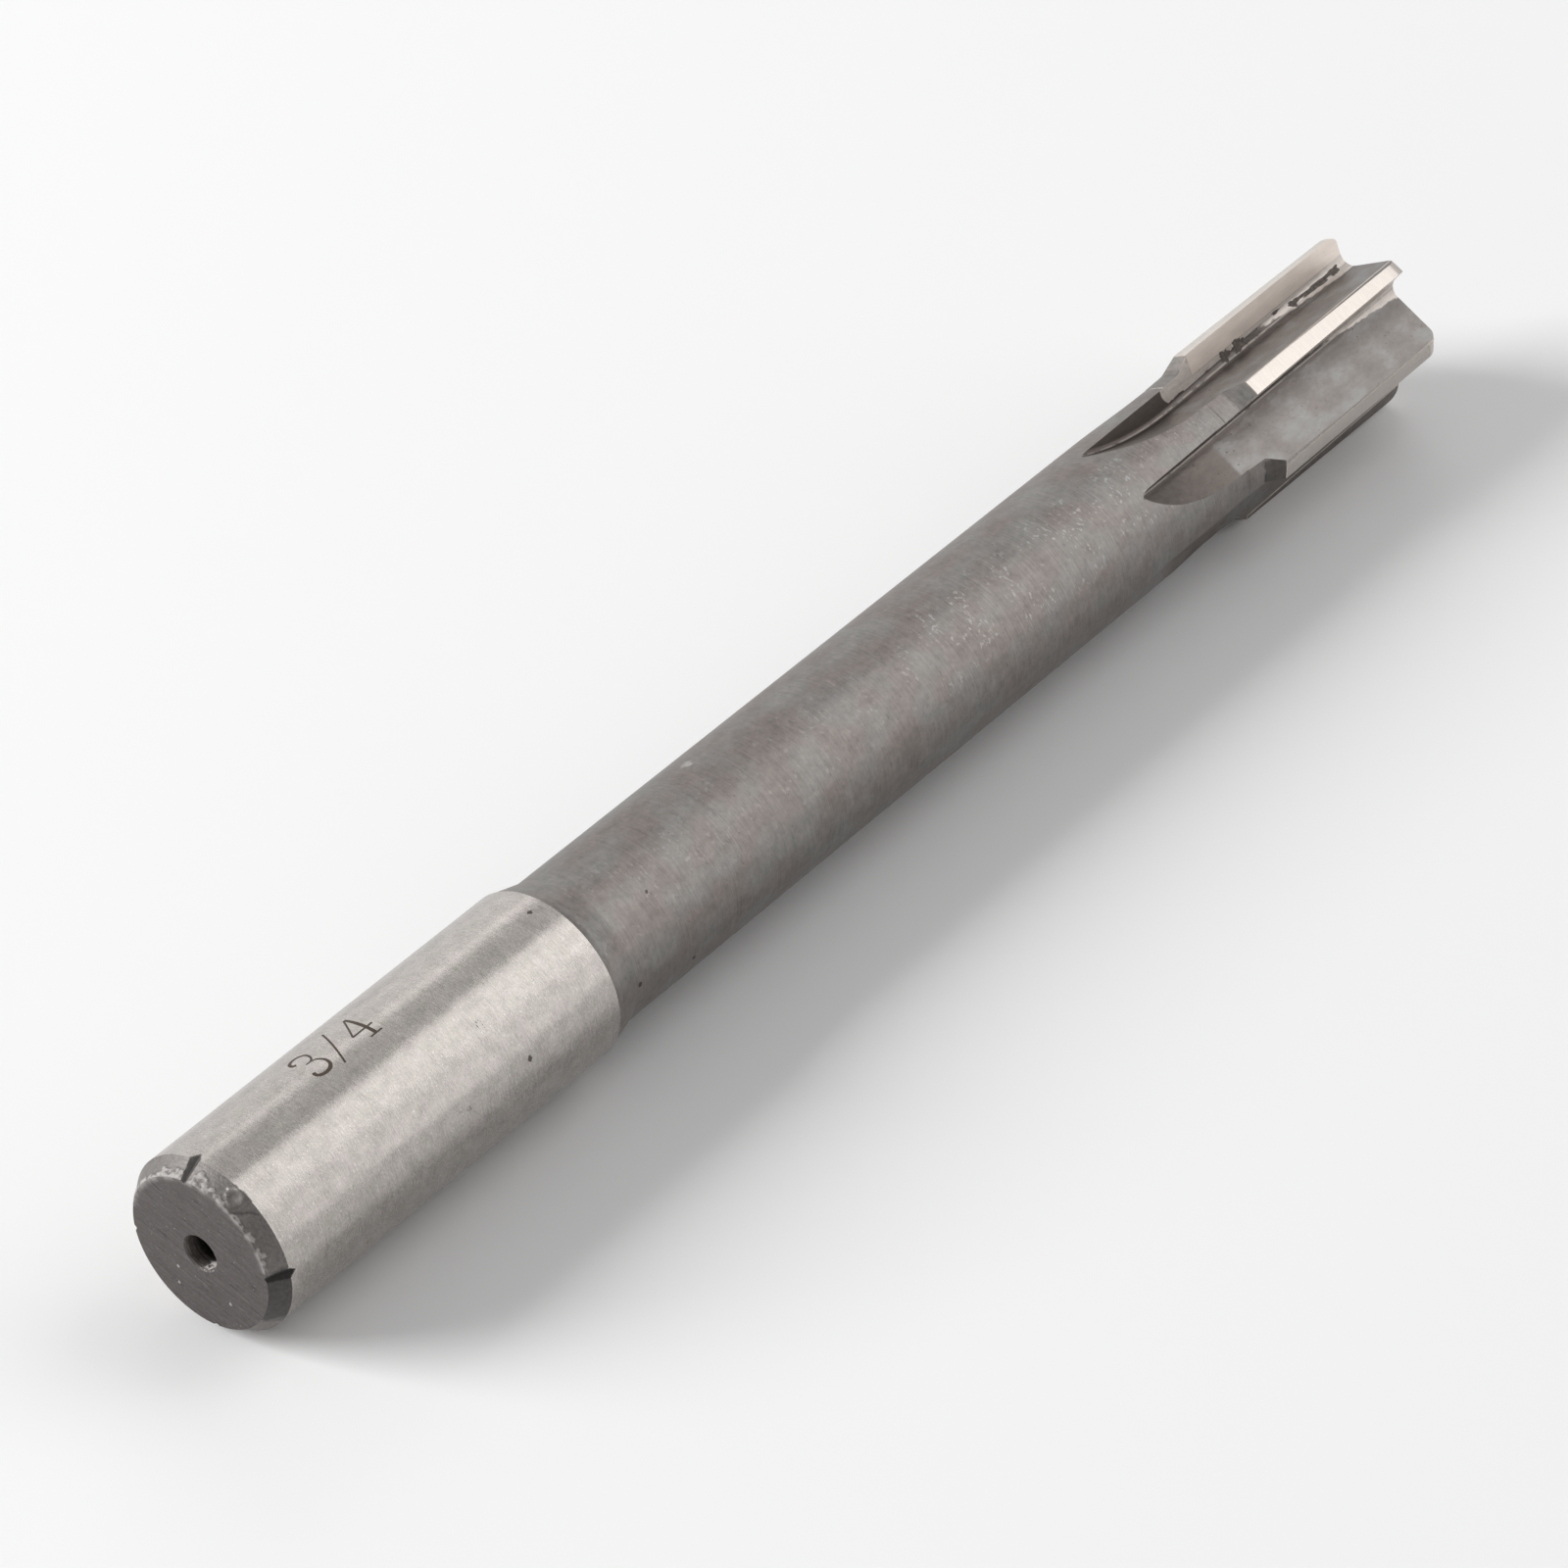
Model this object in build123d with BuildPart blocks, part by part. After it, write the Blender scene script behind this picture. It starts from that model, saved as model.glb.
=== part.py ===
import os
from math import acos, cos, degrees, radians, sin, tan

from build123d import *

# Machine reamer with a plain parallel shank and six brazed hard-metal cutting strips.
# +X runs along the tool from the shank's end face to the cutting end, and +Z is up.
# The origin is the centre of the shank's end face, and the tool lies on two of its teeth.
# Lengths are in millimetres and angles in degrees. A turn is counted about +X from +Y.

# Turned body
overall_length = 182.0
shank_diameter = 18.3
shank_length = 47.2
end_chamfer_length = 1.8
end_chamfer_depth = 1.2
shoulder_length = 3.6
neck_diameter = 16.3

# Cutting head
cutting_diameter = 19.05
tip_length = 27.7
ramp_length = 1.95
collar_length = 2.8
collar_rise = 0.15
lead_chamfer = 0.7

# Teeth, spaced unevenly so that the tool doesn't chatter, with each one opposite its like.
# The spacings run from the first tooth to the third, and a land belongs to the tooth after it.
first_edge_turn = 3.5
tooth_spacing_angles = (62.8, 56.8)
land_widths = (1.25, 1.6, 2.0)

# Flutes
flute_root_radius = 5.7
flute_fillet = 1.2
flute_slant = 1.05
flute_floor_length = 33.6
run_out_length = 14.1

# Hard-metal strips and their brazed seats
tip_thickness = 1.7
tip_height = 2.3
braze_thickness = 0.1

# Driver notches at the shank's end
notch_count = 4
notch_turn = 81.8
notch_angle = 105.0
notch_root_radius = 7.7
notch_length = 2.6

# Centre holes
shank_hole_diameter = 3.66
shank_hole_depth = 9.0
front_hole_diameter = 2.5
front_hole_depth = 7.0
front_sink_diameter = 5.3
front_sink_angle = 60.0
drill_point_angle = 118.0

# Sizes that follow from the ones above
shank_radius = shank_diameter / 2
neck_radius = neck_diameter / 2
cutting_radius = cutting_diameter / 2
collar_radius = neck_radius + collar_rise
last_spacing_angle = 360 / 2 - sum(tooth_spacing_angles)
spacing_angles = 2 * (*tooth_spacing_angles, last_spacing_angle)
turns = [sum(spacing_angles[:number]) for number in range(len(spacing_angles))]
seat_thickness = tip_thickness + braze_thickness
tip_foot_radius = cutting_radius - tip_height
seat_foot_radius = tip_foot_radius - braze_thickness

tip_start = overall_length - tip_length
seat_start = tip_start - braze_thickness
ramp_start = tip_start - ramp_length
collar_start = ramp_start - collar_length
flute_floor_start = overall_length - flute_floor_length

# The cutter that mills the flutes climbs from their floor to the neck over the run-out
run_out_rise = neck_radius - flute_root_radius
cutter_radius = (run_out_length**2 + run_out_rise**2) / (2 * run_out_rise)

# A cut runs this far past the stock that it leaves
overcut = 2.0


def tooth_frame(station):
    """Cross-section of the first tooth at a station along the axis.

    Its x points outwards along the rake wall, its y into the flute in front of that wall,
    and its z along the flute, which leans by flute_slant against the direction of cutting.
    The rake wall is radial halfway along the strips.
    """
    slant = radians(flute_slant)
    edge_turn = radians(first_edge_turn) + tip_length / 2 * tan(slant) / cutting_radius
    outwards = Vector(0, cos(edge_turn), sin(edge_turn))
    forwards = Vector(0, -sin(edge_turn), cos(edge_turn))
    along = Vector(1, 0, 0) * cos(slant) - forwards * sin(slant)
    halfway = overall_length - tip_length / 2
    return Plane(origin=(halfway, 0, 0), x_dir=outwards, z_dir=along).offset(station - halfway)


def tooth_location(number):
    """Turn about the axis that carries the first tooth to another one."""
    return Location((0, 0, 0), (turns[number], 0, 0))


def flute_after(number):
    """Cut from a tooth's rake wall to the back of the next tooth's land.

    Its root is filleted, and its floor climbs out of the neck along the round of the cutter.
    """
    frame = tooth_frame(flute_floor_start)
    land_width = land_widths[number % len(land_widths)]
    span = radians(spacing_angles[number]) - land_width / cutting_radius
    rise = cutting_radius * cos(span) - flute_root_radius
    reach = cutting_radius * sin(span)
    past_land = 1 + overcut / reach
    climb = cutting_radius + overcut - flute_root_radius
    cutter_centre = frame.from_local_coords((flute_root_radius + cutter_radius, 0, 0))
    root = Vector(flute_root_radius, 0, 0)
    with BuildPart() as flute:
        with BuildSketch(frame) as section:
            with BuildLine():
                Polyline(
                    root,
                    (flute_root_radius + rise * past_land, reach * past_land),
                    (cutting_radius + overcut, reach * past_land),
                    (cutting_radius + overcut, 0),
                    close=True,
                )
            make_face()
            fillet(section.vertices().sort_by_distance(root)[0], flute_fillet)
        extrude(amount=flute_floor_length + overcut)
        revolve(
            section.sketch,
            axis=Axis(cutter_centre, -frame.y_dir),
            revolution_arc=degrees(acos(1 - climb / cutter_radius)),
        )
    return flute.part


def bar_along_tooth(start, foot_radius, back, front):
    """Straight bar from a station to past the cutting end, beside the first tooth's rake wall."""
    with BuildPart() as bar:
        with BuildSketch(tooth_frame(start)):
            with BuildLine():
                Polyline(
                    (foot_radius, -back),
                    (foot_radius, front),
                    (cutting_radius + overcut, front),
                    (cutting_radius + overcut, -back),
                    close=True,
                )
            make_face()
        extrude(amount=overall_length + overcut - start)
    return bar.part


# Outline of the whole tool, turned as one blank
with BuildPart() as blank:
    with BuildSketch(Plane.XY):
        with BuildLine():
            Polyline(
                (0, 0),
                (0, shank_radius - end_chamfer_depth),
                (end_chamfer_length, shank_radius),
                (shank_length, shank_radius),
                (shank_length + shoulder_length, neck_radius),
                (collar_start, neck_radius),
                (ramp_start, collar_radius),
                (tip_start, cutting_radius),
                (overall_length - lead_chamfer, cutting_radius),
                (overall_length, cutting_radius - lead_chamfer),
                (overall_length, 0),
                close=True,
            )
        make_face()
    revolve(axis=Axis.X)

# Cuts and fillings of the first tooth, which tooth_location carries to the others
flutes = [flute_after(number) for number in range(len(spacing_angles))]
seat = bar_along_tooth(seat_start, seat_foot_radius, seat_thickness, flute_fillet)
seat_filling = bar_along_tooth(seat_start, seat_foot_radius, seat_thickness, 0)
strip = bar_along_tooth(tip_start, tip_foot_radius, tip_thickness, 0)

# Driver notch: a vee across the end chamfer whose root climbs from the end face to the shank
notch_root = Vector(notch_length, shank_radius - notch_root_radius, 0)
notch_along = notch_root.normalized()
notch_start = Vector(0, notch_root_radius, 0) - notch_along * overcut
notch_half_width = overcut * tan(radians(notch_angle / 2))
with BuildPart() as notch:
    with BuildSketch(Plane(origin=notch_start, x_dir=(0, 0, -1), z_dir=notch_along)):
        with BuildLine():
            Polyline((0, 0), (notch_half_width, overcut), (-notch_half_width, overcut), close=True)
        make_face()
    extrude(amount=notch_root.length + 2 * overcut)

# Steel body: the blank with its flutes, strip seats, driver notches and centre holes
shank_hole_radius = shank_hole_diameter / 2
front_hole_radius = front_hole_diameter / 2
front_sink_radius = front_sink_diameter / 2
front_sink_depth = (front_sink_radius - front_hole_radius) / tan(radians(front_sink_angle / 2))
point_slope = tan(radians(drill_point_angle / 2))
with BuildPart() as reamer_body:
    add(blank.part)
    for number, flute in enumerate(flutes):
        with Locations(tooth_location(number)):
            add(flute, mode=Mode.SUBTRACT)
            add(seat, mode=Mode.SUBTRACT)
    for number in range(notch_count):
        with Locations(Location((0, 0, 0), (notch_turn + number * 360 / notch_count, 0, 0))):
            add(notch.part, mode=Mode.SUBTRACT)
    with BuildSketch(Plane.XY):
        with BuildLine():
            Polyline(
                (0, 0),
                (0, shank_hole_radius),
                (shank_hole_depth, shank_hole_radius),
                (shank_hole_depth + shank_hole_radius / point_slope, 0),
                close=True,
            )
        make_face()
    revolve(axis=Axis.X, mode=Mode.SUBTRACT)
    with BuildSketch(Plane.XY):
        with BuildLine():
            Polyline(
                (overall_length, 0),
                (overall_length, front_sink_radius),
                (overall_length - front_sink_depth, front_hole_radius),
                (overall_length - front_hole_depth, front_hole_radius),
                (overall_length - front_hole_depth - front_hole_radius / point_slope, 0),
                close=True,
            )
        make_face()
    revolve(axis=Axis.X, mode=Mode.SUBTRACT)

os.makedirs("parts", exist_ok=True)
reamer_body.part.label = "reamer_body"
export_step(reamer_body.part, "parts/reamer_body.step")

# Each strip and its braze, ground to the blank's outline and to the floor of the flute behind
for number in range(len(turns)):
    with BuildPart() as carbide_tip:
        with Locations(tooth_location(number)):
            add(strip)
        add(blank.part, mode=Mode.INTERSECT)
        with Locations(tooth_location(number - 1)):
            add(flutes[number - 1], mode=Mode.SUBTRACT)
    carbide_tip.part.label = f"carbide_tip_{number + 1}"
    export_step(carbide_tip.part, f"parts/{carbide_tip.part.label}.step")

    with BuildPart() as braze_seam:
        with Locations(tooth_location(number)):
            add(seat_filling)
            add(strip, mode=Mode.SUBTRACT)
        add(blank.part, mode=Mode.INTERSECT)
        with Locations(tooth_location(number - 1)):
            add(flutes[number - 1], mode=Mode.SUBTRACT)
    braze_seam.part.label = f"braze_seam_{number + 1}"
    export_step(braze_seam.part, f"parts/{braze_seam.part.label}.step")
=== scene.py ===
"""Machine reamer: its surfaces, finishes, light and camera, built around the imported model.

Lengths are in metres and angles in radians, apart from the tables below and the finishes, which are
in millimetres and degrees. +X runs along the tool from the shank's end face to the cutting end, and
+Z is up. A turn is an angle about +X, counted from +Y. In a plane across the tool, a tooth has two
axes of its own: height, outwards along its rake wall, and reach, into the flute in front. A point
there is the complex number height + 1j * reach.
"""

from math import cos, pi, radians, sin, tan

import bmesh
import bpy
import numpy as np
from bpy.props import FloatProperty, FloatVectorProperty, PointerProperty
from mathutils import Matrix, Vector


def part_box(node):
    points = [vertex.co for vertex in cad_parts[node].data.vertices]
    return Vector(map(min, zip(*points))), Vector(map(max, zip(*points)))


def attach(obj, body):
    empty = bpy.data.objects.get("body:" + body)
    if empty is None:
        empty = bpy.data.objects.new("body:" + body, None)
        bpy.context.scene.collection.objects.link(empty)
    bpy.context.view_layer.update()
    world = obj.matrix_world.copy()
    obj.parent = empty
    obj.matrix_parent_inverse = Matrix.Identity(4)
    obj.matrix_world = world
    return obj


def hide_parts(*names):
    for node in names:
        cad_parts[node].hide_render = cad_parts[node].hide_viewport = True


bl_info = {
    "name": "Machine Reamer",
    "version": (1, 0, 0),
    "blender": (4, 5, 0),
    "location": "3D View > Sidebar > Reamer",
    "description": "Builds a machine reamer with brazed cutting strips, its finishes and a studio stage",
    "category": "Add Mesh",
}

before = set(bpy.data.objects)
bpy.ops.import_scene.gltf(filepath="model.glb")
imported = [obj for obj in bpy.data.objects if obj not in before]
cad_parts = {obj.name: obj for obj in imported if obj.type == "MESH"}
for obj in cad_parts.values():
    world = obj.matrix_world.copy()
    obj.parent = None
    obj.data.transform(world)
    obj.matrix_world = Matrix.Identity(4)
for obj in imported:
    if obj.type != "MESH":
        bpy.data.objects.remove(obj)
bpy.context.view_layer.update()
MM = 0.001

# Places along the tool and under it
TOOL_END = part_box("reamer_body")[1].x
STRIP_LENGTH = 27.7 * MM
STRIP_START = TOOL_END - STRIP_LENGTH
FLOOR_Z = min(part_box(name)[0].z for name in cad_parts)

# The teeth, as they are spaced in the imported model, and the land behind each cutting edge. Each tooth
# is like the one opposite it.
TOOTH_SPACINGS = 2 * (62.8, 56.8, 60.4)
LAND_WIDTHS = 2 * (2.0, 1.25, 1.6)
TEETH = range(len(TOOTH_SPACINGS))
TOOTH_TURNS = [radians(sum(TOOTH_SPACINGS[:number])) for number in TEETH]
NOTCH_COUNT = 4
DRILL_POINT = radians(118)
SINK_ANGLE = radians(60)
COLLAR_STEP = 0.05 * MM
LEAD_DROP = 0.85 * MM

# Where the rake walls were ground, as a distance from the cutting end
GROUND_LENGTH = 33.2

# Burr on the end chamfer: how far it reaches from the end face at some turns in degrees
BURR_REACH = (
    (10, 0.0), (22, 0.35), (32, 0.3), (44, 0.35), (54, 0.5), (71, 0.6), (84, 0.4), (91, 0.4),
    (99, 0.5), (107, 0.45), (113, 0.25), (131, 0.18), (141, 0.3), (148, 0.22), (156, 0.5), (168, 0.0),
)

# A flake, a dent and the two ends of a crease in the end chamfer, each as a station and a turn
FLAKE_PLACE = (0.2, 92.5)
DENT_PLACE = (1.16, 116.4)
CREASE_ENDS = ((0.23, 121.9), (1.66, 132.9))
FLAKE_RADIUS = 0.75 * MM
DENT_RADIUS = 0.62 * MM
RIM_RADIUS = 0.78 * MM
RIM_HEIGHT = 0.1 * MM
CREASE_WIDTH = 0.15 * MM
CREASE_DEPTH = 0.12 * MM

# Bright specks on the end face, as turns in degrees and radii
FACE_SPECKS = ((301, 5.84), (234, 5.32), (314, 4.24))

# Spills of braze on the rake walls: distance from the cutting end, height, half length, half height
SPILLS = {
    0: ((4.0, 6.3, 2.0, 0.25), (12.0, 6.6, 0.9, 0.5)),
    1: (
        (22.1, 6.6, 0.85, 0.6),
        (19.6, 6.6, 1.2, 0.62),
        (17.2, 6.3, 1.6, 0.16),
        (12.6, 6.8, 0.6, 0.18),
        (9.6, 6.4, 0.9, 0.3),
        (5.8, 6.36, 3.4, 0.24),
        (2.4, 6.4, 1.2, 0.3),
    ),
    2: ((20.5, 6.8, 0.9, 0.5),),
    3: ((15.0, 6.6, 1.1, 0.5), (6.0, 6.2, 1.8, 0.25)),
    4: ((23.0, 6.8, 0.7, 0.6), (17.5, 6.6, 1.0, 0.4), (5.0, 6.2, 1.5, 0.3)),
    5: ((11.0, 6.6, 1.2, 0.45), (2.5, 6.2, 1.2, 0.25)),
}

# Strokes of the size mark: points along the shank and up the figures, then the widths at the start,
# the middle and the end. The figures stand on the turn MARK_TURN.
MARK_TURN = radians(85)
MARK_STROKES = (
    (((16.8, 2.05), (16.5, 2.3), (16.7, 2.85), (17.35, 3.1), (17.9, 3.0), (18.35, 2.6),
      (18.4, 2.1), (18.2, 1.5), (17.8, 1.2), (17.2, 1.15)), (0.3, 0.22, 0.12)),
    (((17.6, 1.18), (18.2, 0.95), (18.55, 0.4), (18.6, -0.15), (18.4, -0.65), (17.95, -1.0),
      (17.3, -1.1), (16.75, -0.95), (16.5, -0.6), (16.6, -0.25)), (0.12, 0.3, 0.3)),
    (((21.8, 3.55), (19.35, -1.6)), (0.16, 0.16, 0.16)),
    (((24.25, 3.05), (24.1, -1.1)), (0.24, 0.3, 0.3)),
    (((24.15, 3.0), (22.35, 0.15)), (0.14, 0.14, 0.14)),
    (((22.3, 0.15), (24.95, 0.15)), (0.17, 0.17, 0.17)),
    (((23.35, -1.12), (24.85, -1.12)), (0.15, 0.15, 0.15)),
)

# Points closer than MERGE are one. A corner closer than ON_BLANK to the blank lies on it.
MERGE = 2e-7
ON_BLANK = 0.02 * MM

# Distance from the root that lands count as, past all that the root's finishes reach
LAND_DEPTH = 9 * MM

# Parts of a strip's seat, as shares of its columns: up to its back, down the back, along the foot.
# The body's own land behind a narrow strip covers the first few columns.
SEAT_KNOTS = (0, 0.1, 0.55, 1)
BODY_LAND_COLUMNS = 6

# Columns up a strip's rake face, over its land, and down its back and along its foot
STRIP_STEPS = (10, 10, 4, 4, 4)
STRIP_LAND = slice(10, 20)
STRIP_BACK = slice(20, None)

# Lamps: turn about the tool's axis and lean along it in degrees, sides in metres, and radiance
LAMPS = {
    "key": (34, -37, (1.0, 0.9), 15.5),
    "back_panel": (17, 38, (1.1, 1.1), 0.9),
    "edge_strip": (42, 38, (1.1, 0.33), 1.6),
    "top_fill": (67, 38, (1.1, 1.02), 0.5),
    "bright_panel": (112, 38, (1.1, 1.4), 1.58),
    "side_panel": (157, 38, (1.1, 1.34), 1.15),
}
LAMP_DISTANCE = 2.0
FLOOR_HALF = 3.0

# Camera: its place, the ways in which its picture runs right and up and in which it looks, and its lens
CAMERA_PLACE = Vector((-286.974, -300.093, 372.612)) * MM
CAMERA_RIGHT = Vector((0.61547, -0.78782, -0.02314))
CAMERA_UP = Vector((0.49693, 0.3651, 0.78725))
CAMERA_FORWARD = Vector((0.61177, 0.49603, -0.6162))
FOCAL_LENGTH = 145.106
SENSOR_WIDTH = 36


def length(name, description, value):
    """A size property in metres, from a value in millimetres."""
    return FloatProperty(
        name=name, description=description, default=value * MM, unit="LENGTH", precision=5
    )


def angle(name, description, value):
    """An angle property in radians, from a value in degrees."""
    return FloatProperty(name=name, description=description, default=radians(value), subtype="ANGLE")


def colour(name, description, value):
    """A linear colour property."""
    return FloatVectorProperty(
        name=name, description=description, default=value, subtype="COLOR", size=3, min=0.0, max=1.0
    )


class ReamerSizes(bpy.types.PropertyGroup):
    """Sizes of the turned body, the flutes, the strips and the driver notches."""

    shank_radius: length("Shank radius", "Radius of the ground shank", 9.15)
    shank_length: length("Shank length", "From the end face to the shoulder", 47.2)
    chamfer_length: length("Chamfer length", "End chamfer along the axis", 1.8)
    chamfer_depth: length("Chamfer depth", "End chamfer across the axis", 1.2)
    shoulder_length: length("Shoulder length", "Cone between shank and neck", 3.6)
    neck_radius: length("Neck radius", "Radius of the turned neck", 8.15)
    cutting_radius: length("Cutting radius", "Radius of the cutting edges", 9.525)
    ramp_length: length("Ramp length", "Cone before the strips", 1.95)
    collar_length: length("Collar length", "Slight cone before the ramp", 2.8)
    collar_rise: length("Collar rise", "Height of the collar over the neck", 0.15)
    lead_round: length("Lead round", "Rounding of the cutting end", 1.5)
    first_edge_turn: angle("First edge", "Turn of the first cutting edge", 3.5)
    flute_root_radius: length("Flute root", "Radius of the flutes' root", 5.7)
    flute_slant: angle("Flute slant", "Lean of the flutes along the axis", 1.05)
    flute_floor_length: length("Flute floor", "Straight part of the flutes", 33.6)
    run_out_length: length("Run-out", "Where the flutes climb to the neck", 14.1)
    fillet_rear: length("Rear fillet", "Root fillet where the flutes run out", 0.5)
    fillet_front: length("Front fillet", "Root fillet at the cutting end", 1.4)
    strip_thickness: length("Strip thickness", "Hard-metal strips across the flute", 1.7)
    strip_height: length("Strip height", "Hard-metal strips, radially", 2.3)
    braze_thickness: length("Braze thickness", "Gap that the braze fills", 0.1)
    spill_height: length("Spill height", "How far spilt braze stands off the rake wall", 0.045)
    notch_turn: angle("Notch turn", "Turn of the first driver notch", 81.8)
    notch_angle: angle("Notch angle", "Opening of a driver notch", 105.0)
    notch_root_radius: length("Notch root", "Radius of a notch's root at the end face", 7.7)
    notch_length: length("Notch length", "From the end face to where a notch runs out", 2.6)
    burr_height: length("Burr height", "How far the burr stands off the end chamfer", 0.09)
    dent_depth: length("Dent depth", "Depth of the dent in the end chamfer", 0.16)
    shank_hole_radius: length("Shank hole", "Radius of the shank's centre hole", 1.83)
    shank_hole_depth: length("Shank hole depth", "Depth of the shank's centre hole", 9.0)
    front_hole_radius: length("Front hole", "Radius of the front centre hole", 1.25)
    front_hole_depth: length("Front hole depth", "Depth of the front centre hole", 7.0)
    front_sink_radius: length("Front sink", "Radius of the front countersink", 2.65)


class ReamerLook(bpy.types.PropertyGroup):
    """Colours of the finishes, as linear colours."""

    shank: colour("Ground shank", "Bright ground steel", (0.445, 0.41, 0.39))
    neck: colour("Turned neck", "Dull turned steel", (0.258, 0.229, 0.215))
    flute: colour("Milled flutes", "Milled and hardened steel", (0.235, 0.215, 0.203))
    run_out: colour("Run-outs", "Darker steel where the flutes run out", (0.21, 0.184, 0.168))
    ground: colour("Ground rake walls", "Ground steel in front of the strips", (0.73, 0.665, 0.62))
    unground: colour("Unground rake walls", "Dark steel below the ground zone", (0.13, 0.11, 0.10))
    end_face: colour("End face", "Dark sawn end face", (0.12, 0.108, 0.104))
    chamfer: colour("End chamfer", "Turned end chamfer", (0.19, 0.176, 0.168))
    notch: colour("Driver notches", "Cut flanks of the driver notches", (0.12, 0.112, 0.108))
    burr: colour("Burr", "Bright torn metal", (0.42, 0.40, 0.385))
    bore: colour("Centre hole", "Drilled steel at the mouth of the hole", (0.50, 0.455, 0.43))
    land: colour("Lands", "Ground lands of the hard metal", (0.575, 0.53, 0.49))
    carbide: colour("Hard metal", "Fine-ground hard metal", (0.86, 0.77, 0.70))
    braze: colour("Braze seams", "Braze ground flush with the strips", (0.62, 0.555, 0.51))
    spill: colour("Braze spills", "Oxidised braze and flux", (0.16, 0.138, 0.123))
    mark: colour("Size mark", "Etched size mark", (0.07, 0.05, 0.036))
    floor: colour("Floor", "Plain pale floor", (0.92, 0.92, 0.92))


def loop_grid(points, start=0):
    """Quads of a grid of points (rings, columns, 3) whose columns close round the loop."""
    rings, columns = points.shape[:2]
    index = start + np.arange(rings * columns).reshape(rings, columns)
    after = np.roll(index, -1, axis=1)
    quads = np.stack([index[:-1], index[1:], after[1:], after[:-1]], axis=-1)
    return quads.reshape(-1, 4).tolist()


def end_caps(points, start=0):
    """Two faces that close the first and the last ring of a grid of loops."""
    rings, columns = points.shape[:2]
    last = start + (rings - 1) * columns
    return [list(range(start, start + columns)), list(range(last, last + columns))[::-1]]


def joined_loops(grids, caps=slice(0, 2)):
    """Points and faces of several grids of loops, each with the chosen ones of its two caps."""
    points, faces, count = [], [], 0
    for grid in grids:
        faces += loop_grid(grid, count) + end_caps(grid, count)[caps]
        points.append(grid.reshape(-1, 3))
        count += len(points[-1])
    return np.concatenate(points), faces


def make_piece(name, points, faces, materials, face_material=None, weld=0.0, sharp=32, marks=None):
    """Mesh object from points, faces and a material index for each face.

    Doubles closer than weld are merged, and edges that turn by more than sharp degrees stay sharp.
    Each entry of marks is kept as a number on every point, for the materials.
    """
    mesh = bpy.data.meshes.new(name)
    mesh.from_pydata(points.reshape(-1, 3).tolist(), [], faces)
    if face_material is not None:
        mesh.polygons.foreach_set("material_index", face_material.astype(np.int32))
    for mark, values in (marks or {}).items():
        layer = mesh.attributes.new(mark, "FLOAT", "POINT")
        layer.data.foreach_set("value", values.astype(np.float32))
    work = bmesh.new()
    work.from_mesh(mesh)
    if weld:
        bmesh.ops.remove_doubles(work, verts=work.verts, dist=weld)
    bmesh.ops.recalc_face_normals(work, faces=work.faces)
    work.to_mesh(mesh)
    work.free()
    for material in materials:
        mesh.materials.append(material)
    mesh.shade_smooth()
    mesh.set_sharp_from_angle(angle=radians(sharp))
    piece = bpy.data.objects.new(name, mesh)
    bpy.context.scene.collection.objects.link(piece)
    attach(piece, "root")
    return piece


def waves(parameter, seed, frequencies):
    """Sum of cosines with seeded phases, each weighted by one over its frequency."""
    random = np.random.default_rng(seed)
    total = np.zeros_like(parameter)
    for frequency in frequencies:
        total += np.cos(frequency * parameter + random.uniform(0, 2 * pi)) / frequency
    return total / sum(1 / frequency for frequency in frequencies)


def rough(across, along, seed, pitch, count=24):
    """Seeded roughness over a surface: a sum of plane waves in all directions, about one high."""
    random = np.random.default_rng(seed)
    total = np.zeros_like(across)
    for _ in range(count):
        way, phase = random.uniform(0, 2 * pi, 2)
        total += np.cos(2 * pi / pitch * (across * cos(way) + along * sin(way)) + phase)
    return total / np.sqrt(count / 2)


def hump(distance, width):
    """Smooth bump: one at distance zero, falling to nothing past the width."""
    return np.exp(-((distance / width) ** 2))


def head_stations(sizes):
    """Stations where the collar, the ramp and the straight floor of the flutes start."""
    ramp_start = STRIP_START - sizes.ramp_length
    return ramp_start - sizes.collar_length, ramp_start, TOOL_END - sizes.flute_floor_length


def blank_radius(sizes, x):
    """Radius of the turned blank at stations from the neck on.

    It is straight from corner to corner, up to a quarter of an ellipse at the cutting end.
    """
    collar_start, ramp_start, _ = head_stations(sizes)
    neck = sizes.neck_radius
    stations = [0, collar_start, collar_start + COLLAR_STEP, ramp_start, STRIP_START]
    radii = [neck, neck, neck + COLLAR_STEP, neck + sizes.collar_rise, sizes.cutting_radius]
    into_lead = np.clip((x - TOOL_END) / sizes.lead_round + 1, 0, 1)
    drop = LEAD_DROP * (1 - np.sqrt(1 - into_lead**2))
    return np.interp(x, stations, radii) - drop


def edge_turn(sizes, number):
    """Turn of a tooth's rake wall halfway along the strips, where the wall is radial."""
    lean = STRIP_LENGTH / 2 * tan(sizes.flute_slant) / sizes.cutting_radius
    return sizes.first_edge_turn + TOOTH_TURNS[number] + lean


def wall_reach(sizes, x):
    """How far the rake wall stands from the radial line at a station, along the tooth's reach."""
    return -(x - (TOOL_END + STRIP_START) / 2) * tan(sizes.flute_slant)


def across_tool(sizes, number, x, point):
    """Points of the row frame from stations and a tooth's points across the tool."""
    turned = point * np.exp(1j * edge_turn(sizes, number))
    return np.stack(np.broadcast_arrays(x, turned.real, turned.imag), axis=-1)


def root_fillet(sizes, x):
    """Radius of the flutes' root fillet, which grows evenly along their straight floor."""
    floor_start = head_stations(sizes)[-1]
    forward = np.clip((x - floor_start) / sizes.flute_floor_length, 0, 1)
    return sizes.fillet_rear + (sizes.fillet_front - sizes.fillet_rear) * forward


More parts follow.
